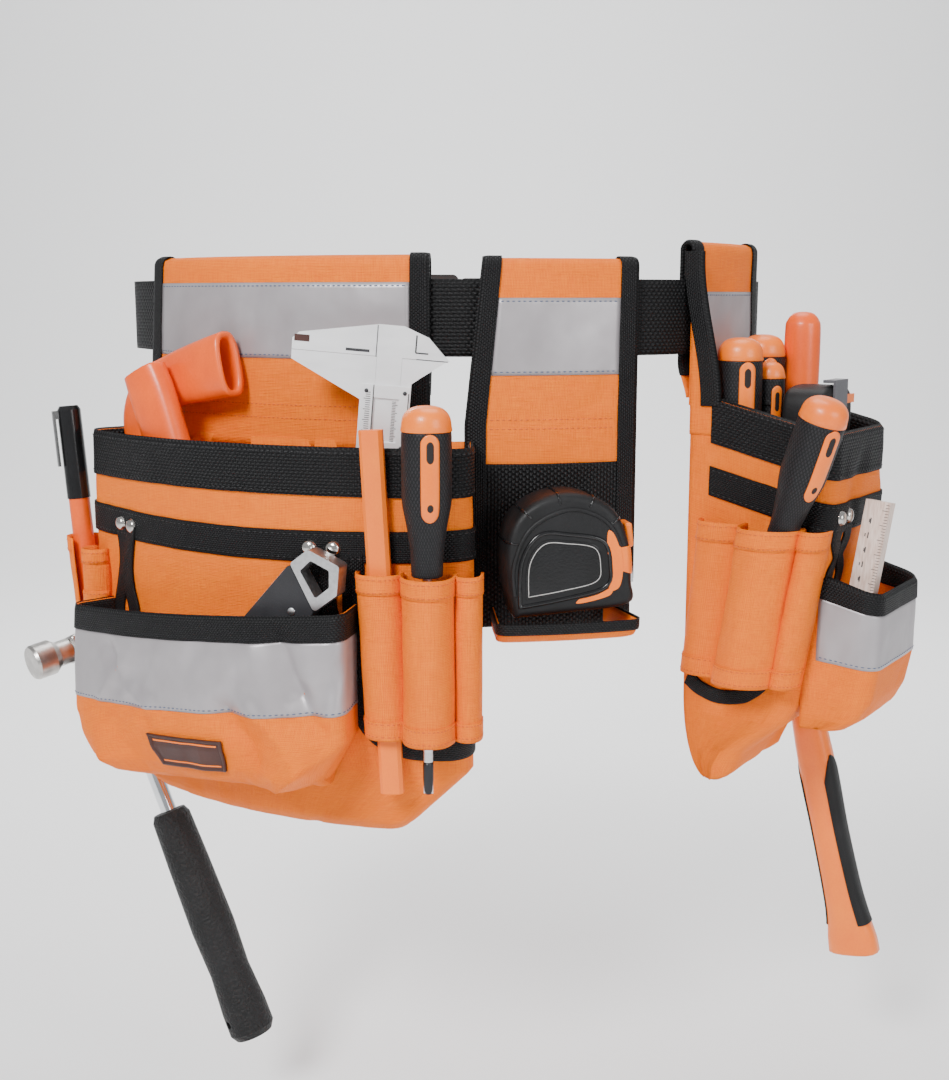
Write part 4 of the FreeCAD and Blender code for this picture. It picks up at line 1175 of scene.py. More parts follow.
# %% Side pouch rules
SIDE_MIDDLE, SIDE_HALF = 55.5, 52.0
OUT, ALONG = direction(SIDE_MIDDLE), direction(SIDE_MIDDLE + 90)
HIP_RADIUS = 300.0
HIP_FACE = HIP_AXIS + OUT * HIP_RADIUS
half_angle = math.degrees(math.asin(SIDE_HALF / (HIP_RADIUS + 4)))
SIDE = Fold(HIP_AXIS, HIP_RADIUS, SIDE_MIDDLE - half_angle, SIDE_MIDDLE + half_angle,
            high("side_pouch_panel").z, 12.4)
side_floor = low("side_pouch_bag").z


def at_hip(along, out, z=0.0):
    return HIP_FACE + ALONG * along + OUT * out + UP * z


def flat_walk(half, back, front, corner):
    """Walk round a bag with flat sides and a flat front."""
    corner = min(corner, (front - back) / 2.2)
    bend = (corner * math.pi / 2, 90)
    side = front - corner - back
    return at_hip(-half, back), SIDE_MIDDLE, [(side, 0), bend, (2 * (half - corner), 0), bend, (side, 0)]


MOUTH_FRONT = -76.0
side_profile = [(104, MOUTH_FRONT), (104.5, -110), (103, -142), (94, -205), (84, -264), (76, -277),
                (58, -292), (44, -304), (35, side_floor + 4), (29, side_floor + 1)]


def side_back_edge(z):
    """How far the bag's back edge stands off the hip: its lower end is a rounded tongue."""
    share = between(0, 1, (-262 - z) / (-262 - side_floor))
    return 2.0 + 21.0 * (1 - math.sqrt(1 - share * share))


def side_lift(point, b):
    """The mouth rises towards the body, and the slope fades out lower down."""
    out = (point - HIP_FACE).dot(OUT)
    fade = between(1.0, 0.0, (b - 70) / 110)
    return (104 - out) * 0.245 * fade


def side_walk(out, z):
    return flat_walk(SIDE_HALF, side_back_edge(z), out, SIDE_CORNER)


SIDE_CORNER = 12.0
SIDE_BAG = Wall(side_profile, side_walk, 21.5, 1.0, side_lift)
side_front = SIDE_BAG.lengths[0] + SIDE_BAG.lengths[1]


def front_of(along):
    """Distance round the side bag of a place on its front."""
    return side_front + along + SIDE_HALF - SIDE_CORNER


print("side bag wall", round(SIDE_BAG.around), "by", round(SIDE_BAG.tall), "mm")

# %% [markdown]
# The pouch is sewn like the large one: a panel over the belt, one strip round three sides of the
# bag, a plain back behind it, and webbing folded over the mouth and across below it.

# %% Side pouch cloth
cloth("side_panel", SIDE, (0, SIDE.width), (-SIDE.down(-55), SIDE.down(-60)), "side_pouch",
      replaces=["side_pouch_panel"])
cloth("side_bag_wall", SIDE_BAG, (0, SIDE_BAG.around), (0, SIDE_BAG.tall), "side_pouch",
      replaces=["side_pouch_bag"])


def side_back(a, z, off=0.0):
    return at_hip(a - 52, side_back_edge(z) + 1.4 + off, z)


cloth("side_back", side_back, (0, 104), (side_floor, -54), "side_pouch", step=6.0)
binding("side_mouth_webbing", SIDE_BAG, rim_edge, (16, SIDE_BAG.around - 4), 30.0, "side_pouch", COARSE_WEB,
        inner=13, half=1.5, replaces=["side_pouch_webbing"])
strap("side_rivet_webbing", SIDE_BAG, (16, SIDE_BAG.around - 6), (46, 66), "side_pouch", FINE_WEB, off=1.4)

# %% [markdown]
# ## The side pouch: wing, binding and strips
# Between the panel and the mouth the gusset's cloth carries on upwards as a narrow wing, whose
# outer edge swings in a long curve from the mouth up to the fold. Its binding follows the curve.

# %% Wing and trim
WING_WIDTH = 18.0
wing_top = high("side_pouch_panel").z - 7


def wing_edge(z):
    """How far out from the belt the wing's bound edge lies at a height."""
    return 7.5 + 15.0 * eased((wing_top - z) / (wing_top + 58))


def wing_surface(depth, z, off=0.0):
    """Depth is counted inwards from the wing's outer edge."""
    bow = 2.5 * math.sin(math.pi * between(0, 1, (wing_top - z) / 110))
    return at_hip(-SIDE_HALF - 0.6 - off - bow * 0.4, wing_edge(z) - depth, z)


cloth("side_wing", lambda a, z, off: wing_surface(a / WING_WIDTH * (wing_edge(z) - 1.5), z, off),
      (0, WING_WIDTH), (-80, wing_top), "side_pouch", step=2.5)
binding("side_wing_binding", wing_surface, lambda s, depth: (depth, s), (-60, wing_top + 1), 12.5,
        "side_pouch", replaces=["side_pouch_binding"])
binding("side_panel_binding", SIDE, panel_edge(SIDE, True), (-SIDE.down(-40), SIDE.down(-48)), 12.0,
        "side_pouch")
binding("side_crest_binding", SIDE, panel_edge(SIDE, False), (-SIDE.down(-40), SIDE.down(24)), 10.0,
        "side_pouch")
side_top, side_bottom = SIDE.down(17), SIDE.down(-33)
reflective_strip("side_reflective", SIDE, (10.5, SIDE.width - 11.5), (side_top, side_bottom), "side_pouch",
                 ["side_pouch_reflectors"])
strip_rows = stitch_rows(SIDE, 12, SIDE.width - 13, (side_top + 2.2, side_bottom - 2.2), 1.25, 3.6)
stitching("side_strip_stitches", strip_rows, BLUE_THREAD, "side_pouch")
web_rows = stitch_rows(SIDE_BAG, 18, SIDE_BAG.around - 8, (2.6, 27.4, 48.3, 63.7), 2.15, 4.2)
stitching("side_webbing_stitches", web_rows, BLACK_THREAD, "side_pouch", 0.4)

# %% [markdown]
# ## The small pocket
# A deep little pocket stands off the front of the side bag. Two narrow straps come down to it from
# the rivets, and they are longer than the gap, so they wave.

# %% Small pocket and its straps
small_profile = [(136, -182), (136.5, -205), (136, -232), (131, -256), (124, -270), (113, -277), (92, -278)]


def small_lift(point, b):
    out = (point - HIP_FACE).dot(OUT)
    return (136 - out) * 0.28 * between(1.0, 0.0, b / 70)


SMALL = Wall(small_profile, lambda out, z: flat_walk(44.0, 86.0, out, 11.0), 31.0, 1.0, small_lift)
cloth("small_pocket_wall", SMALL, (0, SMALL.around), (0, SMALL.tall), "side_pouch", step=3.0,
      replaces=["small_pocket"])
binding("small_pocket_binding", SMALL, rim_edge, (9, SMALL.around - 9), 12.5, "side_pouch", half=1.4)
reflective_strip("small_pocket_reflective", SMALL, (10, SMALL.around - 10), (12.2, 50), "side_pouch",
                 step=2.6)
stitching("small_pocket_stitches", stitch_rows(SMALL, 12, SMALL.around - 12, [47.8], 1.25, 3.6),
          BLUE_THREAD, "side_pouch")
rivets("side_rivets", SIDE_BAG, [(front_of(along), 56) for along in (-36, -20)], "side_pouch",
       "side_pouch_rivets")
for label, along, sway in (("near", -36, -1.0), ("far", -20, 1.0)):
    a = front_of(along)
    curved_tape("side_hanger_" + label, SIDE_BAG,
                [(a, 60), (a + 3 * sway, 72), (a - 2 * sway, 84), (a + 3 * sway, 96), (a, 108), (a, 122)], 11,
                "side_pouch", off=1.6)
curved_tape("side_corner_tape", SIDE_BAG,
            [(94, 62), (94, 110), (90, 142), (80, 168), (62, 184), (42, 189), (20, 186), (4, 178)], 11,
            "side_pouch")
# How far out each tube's foot and head stand from the hip, and the tube's width and depth.
GUSSET_ARCHES = [(19.5, 30, 33, 15), (52, 68, 42, 31.5), (79, 97, 18, 19)]
GUSSET_TUBES = Tubes([(at_hip(-SIDE_HALF, foot, -250), at_hip(-SIDE_HALF, head, -137), -ALONG, width,
                       depth) for foot, head, width, depth in GUSSET_ARCHES], 15.5)
make_tubes("gusset_tubes", GUSSET_TUBES, -138, -246, "side_pouch", ["side_pouch_gusset_tubes"], 13)
loop_root = at_hip(SIDE_HALF, 27.5, low("side_pouch_hammer_loop").z)
hammer_loop("side_loop", loop_root, SIDE_MIDDLE + 90, 43, 47, 24, "side_pouch", "side_pouch_hammer_loop")
print("side pouch done")

# %% [markdown]
# ## Solid shapes that are swept
# Handles and grips are swept: a closed outline travels along a line and changes its width and
# thickness on the way. The outline is a superellipse, which lies between an oval and a rounded
# rectangle. The same grid as for cloth makes them, wrapped right round so that its edges meet, and
# it closes to a point at each end. A rule for the surface is kept, so that inlays can lie on it.

# %% Swept solids
class Sweep:
    """Solid swept along points of (x, y, z, width, depth), in a local frame put at a place."""

    def __init__(self, place, sections, square=2.6, steps=10):
        self.place, self.power = place, 2 / square
        self.line = smooth_line(sections, steps)
        self.spots = [Vector(p[:3]) for p in self.line]
        self.runs = [0.0]
        for p, q in zip(self.spots, self.spots[1:]):
            self.runs.append(self.runs[-1] + (q - p).length)
        self.length = self.runs[-1]

    def section(self, s):
        s = min(max(s, 0.0), self.length)
        k = 0
        while k < len(self.runs) - 2 and self.runs[k + 1] < s:
            k += 1
        share = (s - self.runs[k]) / max(self.runs[k + 1] - self.runs[k], 1e-6)
        here = [p + (q - p) * share for p, q in zip(self.line[k], self.line[k + 1])]
        first, last = self.spots[max(k - 3, 0)], self.spots[min(k + 4, len(self.spots) - 1)]
        return Vector(here[:3]), (last - first).normalized(), here[3], here[4]

    def __call__(self, turn, s, off=0.0, shrink=1.0):
        """Place at a turn in degrees from local -Y towards +X, and a distance along."""
        centre, along, width, depth = self.section(s)
        side = Vector((0, 1, 0)).cross(along).normalized()
        front = side.cross(along).normalized()
        angle = math.radians(turn)
        across, out = math.sin(angle), math.cos(angle)
        across = math.copysign(abs(across) ** self.power, across)
        out = math.copysign(abs(out) ** self.power, out)
        local = (centre + side * across * (width / 2 * shrink + off)
                 + front * out * (depth / 2 * shrink + off))
        return self.place @ local

    def solid(self, name, finish, body, slot, replaces, ends, around=44, step=3.0):
        """Closed solid with rounded ends; ends are how far each one's rounding reaches."""
        total = self.length + ends[0] + ends[1]

        def shape(a, b):
            s = min(max(b - ends[0], 0.0), self.length)
            shrink = 1.0
            for left, reach, way in ((b, ends[0], 1), (total - b, ends[1], -1)):
                if left < reach:
                    shrink = math.sin(math.acos(1 - left / reach)) if left > 0.001 else 0.0
                    s += way * reach * 0.5 * (1 - shrink) * 0.999
            return self(a * 360 / around, s, 0.0, shrink)
        rows = max(8, round(total / step))
        bm = sheet_mesh(shape, (0, around), (0, total), total / rows, closed=True)
        bmesh.ops.recalc_face_normals(bm, faces=bm.faces)
        return piece(name, bm, finish, body, replaces)


# %% [markdown]
# ## Screwdrivers
# A screwdriver's handle is moulded in two goes: a hard orange core, which shows at the domed end
# and in a long slot down one side, and a soft black grip over it with a diamond pattern, whose
# raised diamonds are painted lighter as a painted highlight. The core has a hole to hang it by; it
# is not cut, and a dark patch paints the shade inside it. Each handle is spun from one outline; the
# inlay lies on the same outline, slightly proud.

# %% Screwdriver parts
def diamond_grip(name):
    made, start = material(name, Roughness=0.5, Specular_IOR_Level=0.28)
    uv, around, along = cloth_place(start)
    left = (around * 420 + along * 250).wave()
    right = (around * 420 - along * 250).wave()
    raised = (left * right).between(0.12, 0.5)
    fine = uv.noise(1500.0, 2.0)
    # Painted highlight: the raised diamonds are painted lighter than the grooves; the fine noise is the
    # rubber's own tone.
    return feed(made, raised + fine * 0.25, 0.0005,
                Base_Color=(raised * 0.7 + fine * 0.4).between(0.1, 1.0).tint(
                    colour(0.006, 0.006, 0.007), colour(0.024, 0.024, 0.026)),
                Roughness=fine * 0.15 + 0.42)


DIAMOND = diamond_grip("diamond_black_grip")


def handle_outline(length, radius):
    neck = radius * 0.62
    return smooth_line([(0.0, -length), (neck * 0.9, -length), (neck * 1.02, -length + 3),
                        (neck * 1.06, -length + 14), (neck * 1.28, -length + 30),
                        (radius * 0.97, -length + 45), (radius, -length + 58), (radius, -30),
                        (radius * 0.985, -14), (radius * 0.9, -6.5), (radius * 0.66, -2.2),
                        (radius * 0.33, -0.4), (0.0, 0.0)], 5)


class Turned:
    """Surface of a turned handle: a round it in degrees, b down it from the top."""

    def __init__(self, place, outline):
        self.place = place
        self.outline = list(reversed(outline))

    def __call__(self, turn, down, off=0.0):
        z = -down
        radius = 0.0
        for (r0, z0), (r1, z1) in zip(self.outline, self.outline[1:]):
            if z1 <= z <= z0:
                radius = r0 + (r1 - r0) * ((z0 - z) / max(z0 - z1, 1e-6))
                break
        radius = max(radius + off, 0.0)
        angle = math.radians(turn)
        return self.place @ Vector((radius * math.sin(angle), -radius * math.cos(angle), z))


def turned_solid(name, outline, place, finish, body, replaces=(), steps=40):
    """Solid spun from an outline; its UV map is its girth and its length, for knurls."""
    girth = math.tau * max(r for r, _ in outline)
    lengths = [0.0]
    for p, q in zip(outline, outline[1:]):
        lengths.append(lengths[-1] + math.dist(p, q))
    bm = bmesh.new()
    layer = bm.loops.layers.uv.new("cloth")
    bmesh.ops.create_grid(bm, x_segments=steps, y_segments=len(outline) - 1, size=0.5)
    for face in bm.faces:
        for loop in face.loops:
            row = round((loop.vert.co.y + 0.5) * (len(outline) - 1))
            loop[layer].uv = ((loop.vert.co.x + 0.5) * girth * MM, lengths[row] * MM)
    for vert in bm.verts:
        radius, z = outline[round((vert.co.y + 0.5) * (len(outline) - 1))]
        angle = (vert.co.x + 0.5) * math.tau
        vert.co = place @ Vector((radius * math.sin(angle), -radius * math.cos(angle), z))
    bmesh.ops.remove_doubles(bm, verts=bm.verts, dist=0.01)
    bmesh.ops.recalc_face_normals(bm, faces=bm.faces)
    return piece(name, bm, finish, body, replaces)


def make_screwdriver(name, head, up, length, radius, front, nodes, cap_depth=15.0):
    """Grip, cap, inlay, painted shade of the hanging hole, and size mark of one handle."""
    place = upright_at(head, up, front)
    outline = handle_outline(length, radius)
    surface = Turned(place, outline)
    grip = [p for p in outline if p[1] < -cap_depth] + [(radius * 0.97, -cap_depth), (0.0, -cap_depth)]
    turned_solid(name + "_grip", grip, place, DIAMOND, name, nodes)
    cap = [(0.0, -cap_depth - 0.5), (radius * 0.99, -cap_depth - 0.5), (radius * 1.02, -cap_depth)]
    cap += [(r + 0.25, z + 0.2) if r else (r, z + 0.2) for r, z in outline if z > -cap_depth + 1]
    turned_solid(name + "_cap", cap, place, ORANGE_PLASTIC, name)
    first, last = 16.5, length * 0.66
    half = 5.6 * radius / 15.5

    def slab(wide, begin, end, off, finish, label, thick=0.9):
        def shape(a, b):
            share = (b - begin) / (end - begin)
            reach = between(0, 1, min(share, 1 - share) * (end - begin) / wide)
            turn = math.degrees(a * wide * math.sqrt(1 - (1 - reach) ** 2) / radius)
            return surface(turn, b, off - 0.35 * abs(a) ** 4)
        bm = sheet_mesh(shape, (-1, 1), (begin, end), 0.16)
        bmesh.ops.remove_doubles(bm, verts=bm.verts, dist=0.01)
        piece(name + "_" + label, bm, finish, name, (), thick)

    slab(half, first, last, 0.45, ORANGE_PLASTIC, "inlay")
    # The hanging hole is not cut: this dark patch is painted shade where the hole is.
    slab(half * 0.52, first + 4, first + 17, 0.75, HOLE_SHADE_AND_MARK, "hang_hole", 0.5)
    slab(half * 0.42, last - 11, last - 11 + half * 0.84, 0.85, HOLE_SHADE_AND_MARK, "size_mark", 0.4)


print("grip finish:", DIAMOND.name)

# %% [markdown]
# ## Five screwdrivers
# One stands in the front tubes, three in the side pouch and one leans in its gusset tube, along the
# axis that its joint slides on. The front one's blade comes out below its tube in a dark tip.

# %% Five screwdrivers
front_top = (low("front_driver_handle") + high("front_driver_handle")) / 2
front_top.z = high("front_driver_handle").z
make_screwdriver("front_driver", front_top, UP, 105, 15.5, direction(10), ["front_driver_handle"])
for name, along, out, z in (("long_driver", -31.5, 28, -14), ("rear_driver", 17, 24, -13)):
    make_screwdriver(name, at_hip(along, out, z), UP, 112, 15.5, Vector((0.16, -1, 0)), [name + "_handle"])
small_top = at_hip(-8, 40.5, -31)
make_screwdriver("small_driver", small_top, UP, 84, 10.5, Vector((0.3, -1, 0)), ["small_driver"], 11)
make_screwdriver("side_driver", at_hip(-72.5, 108, -50), Vector(JOINT["side_driver_pull"]["axis"]), 100, 15.5,
                 Vector((0.42, -0.9, 0)), ["side_driver_handle"])
turned_solid("small_driver_shank", [(0, -164), (1.6, -164), (2.4, -158), (2.5, -84), (0, -84)],
             upright_at(small_top, UP), SATIN_STEEL, "small_driver")
tip_place = upright_at(Vector((front_top.x, front_top.y, low("front_driver_blade").z)), UP)
turned_solid("front_driver_tip", [(0, -0.3), (2.0, -0.3), (2.7, 2), (3.3, 9), (3.3, 19), (3.05, 21), (0, 21)],
             tip_place, BLACK_OXIDE, "front_driver")
print("screwdrivers done")

# %% [markdown]
# ## Pipe wrench
# Each leg of the wrench is a steel bar dipped in thick orange plastic, so its edges are all round.
# The bent leg curls over and ends in an open sleeve. The sleeve is one skin: out along the outside,
# over the rim and back down the inside.

# %% Wrench legs
WRENCH_TURN = -36.0
wrench_front = upright_at(polar(FRONT_AXIS, 322.5, WRENCH_TURN), UP, direction(WRENCH_TURN))
wrench_back = upright_at(polar(FRONT_AXIS, 300.5, WRENCH_TURN), UP, direction(WRENCH_TURN))
straight_leg = Sweep(wrench_front, [(8, 0, -205, 15, 17), (19, 0, -178, 22, 18), (8, 0, -145, 28, 19),
                                    (-8, 0, -108, 32, 19), (-20, 0, -80, 36, 19), (-31, 0, -54, 37, 19),
                                    (-39, 0, -36, 34, 19)], 2.9)
straight_leg.solid("wrench_leg_straight", DEEP_ORANGE, "wrench", "orange_plastic",
                   ["wrench_straight_leg"], (4, 11))
bent_leg = Sweep(wrench_back, [(-4, 0, -205, 15, 17), (-13, 0, -178, 22, 18), (6, 0, -147, 26, 19),
                               (-28, 0, -120, 26, 19), (-58, 0, -98, 27, 19), (-69, 0, -76, 29, 19),
                               (-58, 0, -54, 33, 19), (-30, 0, -43, 37, 20), (2, 0, -35, 42, 21),
                               (22, 0, -30.5, 44, 21)], 2.9)


def make_sleeve_leg():
    """Bent leg with its open sleeve."""
    depth_in, wall, around = 30.0, 4.2, 48
    length = bent_leg.length

    def shape(a, b):
        turn = a * 360 / around
        if b <= 4:
            return bent_leg(turn, 0, 0.0, math.sin(math.pi / 2 * b / 4))
        if b <= length + 4:
            return bent_leg(turn, b - 4)
        if b <= length + 7:
            return bent_leg(turn, length + 0.6, -wall * (b - length - 4) / 3)
        inside = b - length - 7
        if inside <= depth_in:
            return bent_leg(turn, length - inside, -wall)
        return bent_leg(turn, length - depth_in, -wall, max(0.0, 1 - (inside - depth_in) / 4))
    total = length + 7 + depth_in + 4
    rows = round(total / 2.5)
    bm = bmesh.new()
    bmesh.ops.create_grid(bm, x_segments=around, y_segments=rows, size=0.5)
    for vert in bm.verts:
        vert.co = shape((vert.co.x + 0.5) * around, (vert.co.y + 0.5) * total)
    bmesh.ops.remove_doubles(bm, verts=bm.verts, dist=0.02)
    bmesh.ops.recalc_face_normals(bm, faces=bm.faces)
    piece("wrench_leg_bent", bm, DEEP_ORANGE, "wrench_bent", ["wrench_bent_leg"])


make_sleeve_leg()
print("wrench legs", round(straight_leg.length), round(bent_leg.length), "mm")

# %% [markdown]
# ## Caliper markings
# The caliper's own solids are flat plates and already right. What makes them read as a measuring
# tool is what is cut into them: a fine scale on the beam, a vernier beside the window, the line
# between the jaws and four small screws. The scale is many small bars, made from one cube each.

# %% Scales and screws of the caliper
lean = math.radians(5)
caliper_up = Vector((math.sin(lean), 0, math.cos(lean)))
caliper_place = upright_at(Vector((-31, -168, -4)), caliper_up)
ENGRAVED = moulded("engraved_black", colour(0.030, 0.030, 0.034), colour(0.016, 0.016, 0.018), 0.5)


def bars(name, place, spots, finish, body, depth=0.35):
    """Small flat bars; a spot is (x, y, z, width, height)."""
    bm = bmesh.new()
    for x, y, z, width, height in spots:
        size = Matrix.Diagonal((width, depth, height, 1))
        bmesh.ops.create_cube(bm, size=1.0, matrix=place @ Matrix.Translation((x, y, z)) @ size)
    return piece(name, bm, finish, body, smooth=False)


beam_ticks = [(5.0, -1.95, k - 75, 2.4, 0.28) if k % 5 else (5.6, -1.95, k - 75, 3.6, 0.28)
              for k in range(2, 28)]
bars("caliper_beam_scale", caliper_place, beam_ticks, ENGRAVED, "caliper", 0.4)
vernier = [(-11.7, -3.5, -74 + k * 1.35, 3.0, 0.35) if k % 5 else (-12.2, -3.5, -74 + k * 1.35, 4.4, 0.35)
           for k in range(24)]
bars("caliper_vernier", caliper_place, vernier, ENGRAVED, "caliper_slider")
bars("caliper_slider_lines", caliper_place, [(-8.4, -3.45, -59, 0.6, 42), (14.0, -3.45, -60, 0.6, 36)],
     ENGRAVED, "caliper_slider")
jaw_lines = [(-8.6, -1.85, -10.5, 0.5, 20), (-20.5, -1.85, -17.2, 15, 1.7), (16.2, -1.85, -10.5, 0.9, 11),
             (20.2, -1.85, -16.0, 8.0, 0.9), (27, -1.85, -20.0, 20, 0.5)]
bars("caliper_jaw_lines", caliper_place, jaw_lines, ENGRAVED, "caliper")
bars("caliper_tip_mark", caliper_place, [(-56.0, -1.85, -12.6, 9.5, 4.2)], BADGE_BROWN, "caliper")


def screws(name, place, spots, radius, finish, body):
    bm = bmesh.new()
    for x, y, z in spots:
        head = place @ Matrix.Translation((x, y, z)) @ Matrix.Rotation(math.radians(90), 4, "X")
        spun(bm, [(0, 0), (radius, 0), (radius, 0.5), (radius * 0.8, 0.8), (0, 0.85)], head, 16)
    return piece(name, bm, finish, body)


screws("caliper_screws", caliper_place, [(x, -3.3, z) for z in (-42, -77) for x in (-13, 11.5)], 1.3,
       ENGRAVED, "caliper_slider")

# %% [markdown]
# ## Left hammer
# The left hammer has a chromed tube and a thick pebbled grip, and its head is painted up to its
# ground face. The paint follows the distance along the head, worked out in the material.

# %% Hammer head paint
claw_up = Vector(JOINT["claw_hammer_lift"]["axis"])
head_along = Vector((-0.77, -0.60, 0))
head_along = (head_along - claw_up * head_along.dot(claw_up)).normalized()
claw_head = (low("claw_hammer_head") + high("claw_hammer_head")) / 2


def painted_head():
    made, start = material("painted_hammer_head", Roughness=0.35, Coat_Weight=0.1)
    place = object_place(start)
    dot = place.node("ShaderNodeVectorMath", {"operation": "DOT_PRODUCT"}, {1: head_along}, 1)
    place.tree.links.new(place.socket, dot.socket.node.inputs[0])
    middle = claw_head.dot(head_along) * MM
    rough_edge = place.noise(220.0, 3.0) * 0.004
    ground = (dot + rough_edge - 0.002).between(middle + 0.010, middle + 0.0125)
    worn = place.noise(90.0, 4.0)
    steel = worn.between(0.3, 0.75).tint(colour(0.42, 0.40, 0.38), colour(0.68, 0.66, 0.63))
    paint = worn.between(0.35, 0.7).tint(colour(0.55, 0.05, 0.010), colour(0.80, 0.11, 0.016))
    return feed(made, worn, 0.0002, Base_Color=ground.tint(paint, steel), Metallic=ground,
                Roughness=worn * 0.25 + 0.22)


PAINTED_HEAD = painted_head()
print("hammer head finish:", PAINTED_HEAD.name)

# %% [markdown]
# ## Right hammer
# The right hammer has a glass-fibre handle: an orange core with a wide butt, and a black inlay let
# into each side of it.

# %% Glass-fibre handle of the right hammer
club_up = Vector(JOINT["club_hammer_lift"]["axis"])
club_place = upright_at(Vector((258.0, 0.2, -200)), club_up, ALONG)
club_handle = Sweep(club_place, [(0, 0, 16, 17.5, 14), (0, 0, -20, 18, 14.5), (0, 0, -60, 19, 16),
                                 (0, 0, -105, 24, 20), (0, 0, -150, 27.5, 23), (0, 0, -200, 26, 23.5),
                                 (-0.5, 0, -245, 27.5, 23.5), (-1, 0, -268, 31, 23.5),
                                 (-1, 0, -288, 38, 23.5), (-0.5, 0, -300, 39.5, 23)], 2.7)
club_handle.solid("club_handle_core", ORANGE_PLASTIC, "club_hammer", "orange_plastic",
                  ["club_hammer_handle"], (2, 5))


def club_inlay(name, middle, half=52, begin=158, end=292):
    """Black inlay along the handle, pointed at its upper end; middle and half are in degrees."""
    def shape(a, b):
        share = (b - begin) / (end - begin)
        wide = min(1.0, 3.2 * share ** 0.6) * (1 - 0.15 * share)
        return club_handle(middle + a * half * wide, b, 0.35 - 0.5 * abs(a) ** 6)
    bm = sheet_mesh(shape, (-1, 1), (begin, end), 0.2)
    return piece(name, bm, SOFT_BLACK, "club_hammer", (), 1.2)


club_inlay("club_handle_inlay", -78)
club_inlay("club_handle_back_inlay", 102)
print("hammers done")

# %% [markdown]
# ## Tape measure
# The case is a rounded D, padded with black rubber that wraps over its edges. A pillow makes it:
# the outline shrinks towards the middle of each face, and the section says how far out and how
# deep each step is. The rubber has seams over its crown, a ridge that frames the label, and an
# orange inset behind the blade's mouth.

# %% Pillow shapes
class Pillow:
    """Solid whose outline is (x, z) and whose section is (share of the outline, y)."""

    def __init__(self, place, outline, half, soft, steps=6):
        self.place = place
        self.line = smooth_line(outline + [outline[0]], steps)
        self.line[-1] = self.line[0]
        self.centre = Vector((sum(x for x, _ in outline), sum(z for _, z in outline))) / len(outline)
        bend = [(1 - soft[0] * (1 - math.sin(turn)), -half + soft[1] * (1 - math.cos(turn)))
                for turn in (k * math.pi / 8 for k in range(5))]
        self.section = [(0.0, -half), (0.4, -half), (bend[0][0] - 0.06, -half), *bend]
        self.section += [(share, -y) for share, y in reversed(self.section)]

    def at(self, around, row, off=0.0):
        k = int(around) % (len(self.line) - 1)
        share = around - int(around)
        (x0, z0), (x1, z1) = self.line[k], self.line[k + 1]
        spot = Vector((x0 + (x1 - x0) * share, z0 + (z1 - z0) * share)) - self.centre
        j = min(int(row), len(self.section) - 2)
        part = row - j
        size = self.section[j][0] + (self.section[j + 1][0] - self.section[j][0]) * part
        y = self.section[j][1] + (self.section[j + 1][1] - self.section[j][1]) * part
        reach = spot * size + spot.normalized() * (off if size > 0.5 else 0)
        return self.place @ Vector((self.centre.x + reach.x, y, self.centre.y + reach.y))

    def solid(self, name, finish, body, slot, replaces=()):
        columns, rows = (len(self.line) - 1) * 2, (len(self.section) - 1) * 2
        bm = bmesh.new()
        bmesh.ops.create_grid(bm, x_segments=columns, y_segments=rows, size=0.5)
        for vert in bm.verts:
            vert.co = self.at((vert.co.x + 0.5) * columns / 2, (vert.co.y + 0.5) * rows / 2)
        bmesh.ops.remove_doubles(bm, verts=bm.verts, dist=0.01)
        bmesh.ops.recalc_face_normals(bm, faces=bm.faces)
        return piece(name, bm, finish, body, replaces)


def face_panel(name, place, outline, y, finish, body, thick=0.8, step=6):
    """Thin plate with a smooth outline, lying on a face."""
    line = smooth_line(outline + [outline[0]], step)[:-1]
    bm = bmesh.new()
    verts = [bm.verts.new(place @ Vector((x, y, z))) for x, z in line]
    face = bm.faces.new(verts)
    front = place.to_3x3() @ Vector((0, -1, 0))
    bmesh.ops.recalc_face_normals(bm, faces=[face])
    if face.normal.dot(front) < 0:
        bmesh.ops.reverse_faces(bm, faces=[face])
    grown = bmesh.ops.extrude_face_region(bm, geom=[face])
    moved = [g for g in grown["geom"] if isinstance(g, bmesh.types.BMVert)]
    bmesh.ops.translate(bm, verts=moved, vec=front * thick)
    bmesh.ops.recalc_face_normals(bm, faces=bm.faces)
    return piece(name, bm, finish, body, smooth=False, round_edges=0.25)


def face_ridge(name, place, outline, y, radius, finish, body, closed=True):
    """Round bead along a smooth outline on a face."""
    line = smooth_line(outline + [outline[0]], 6)[:-1] if closed else smooth_line(outline, 6)
    curve = bpy.data.curves.new(name + "_line", "CURVE")
    curve.dimensions = "3D"
    curve.bevel_depth = radius
    curve.bevel_resolution = 3
    spline = curve.splines.new("POLY")
    spline.points.add(len(line) - 1)
    for spot, (x, z) in zip(spline.points, line):
        spot.co = (*(place @ Vector((x, y, z))), 1)
    spline.use_cyclic_u = closed
    shell = bpy.data.objects.new(name + "_line", curve)
    bpy.context.scene.collection.objects.link(shell)
    bm = bmesh.new()
    bead = bpy.data.meshes.new_from_object(shell)
    bm.from_mesh(bead)
    bpy.data.objects.remove(shell)
    bpy.data.meshes.remove(bead)
    return piece(name, bm, finish, body)


print("rules ready: Pillow, face_panel, face_ridge")

# %% [markdown]
# ## The belt's tape measure
# The case leans a little in its tray. A point on its face is (across, up) from the middle of the
# case, in the plane that the case stands in.

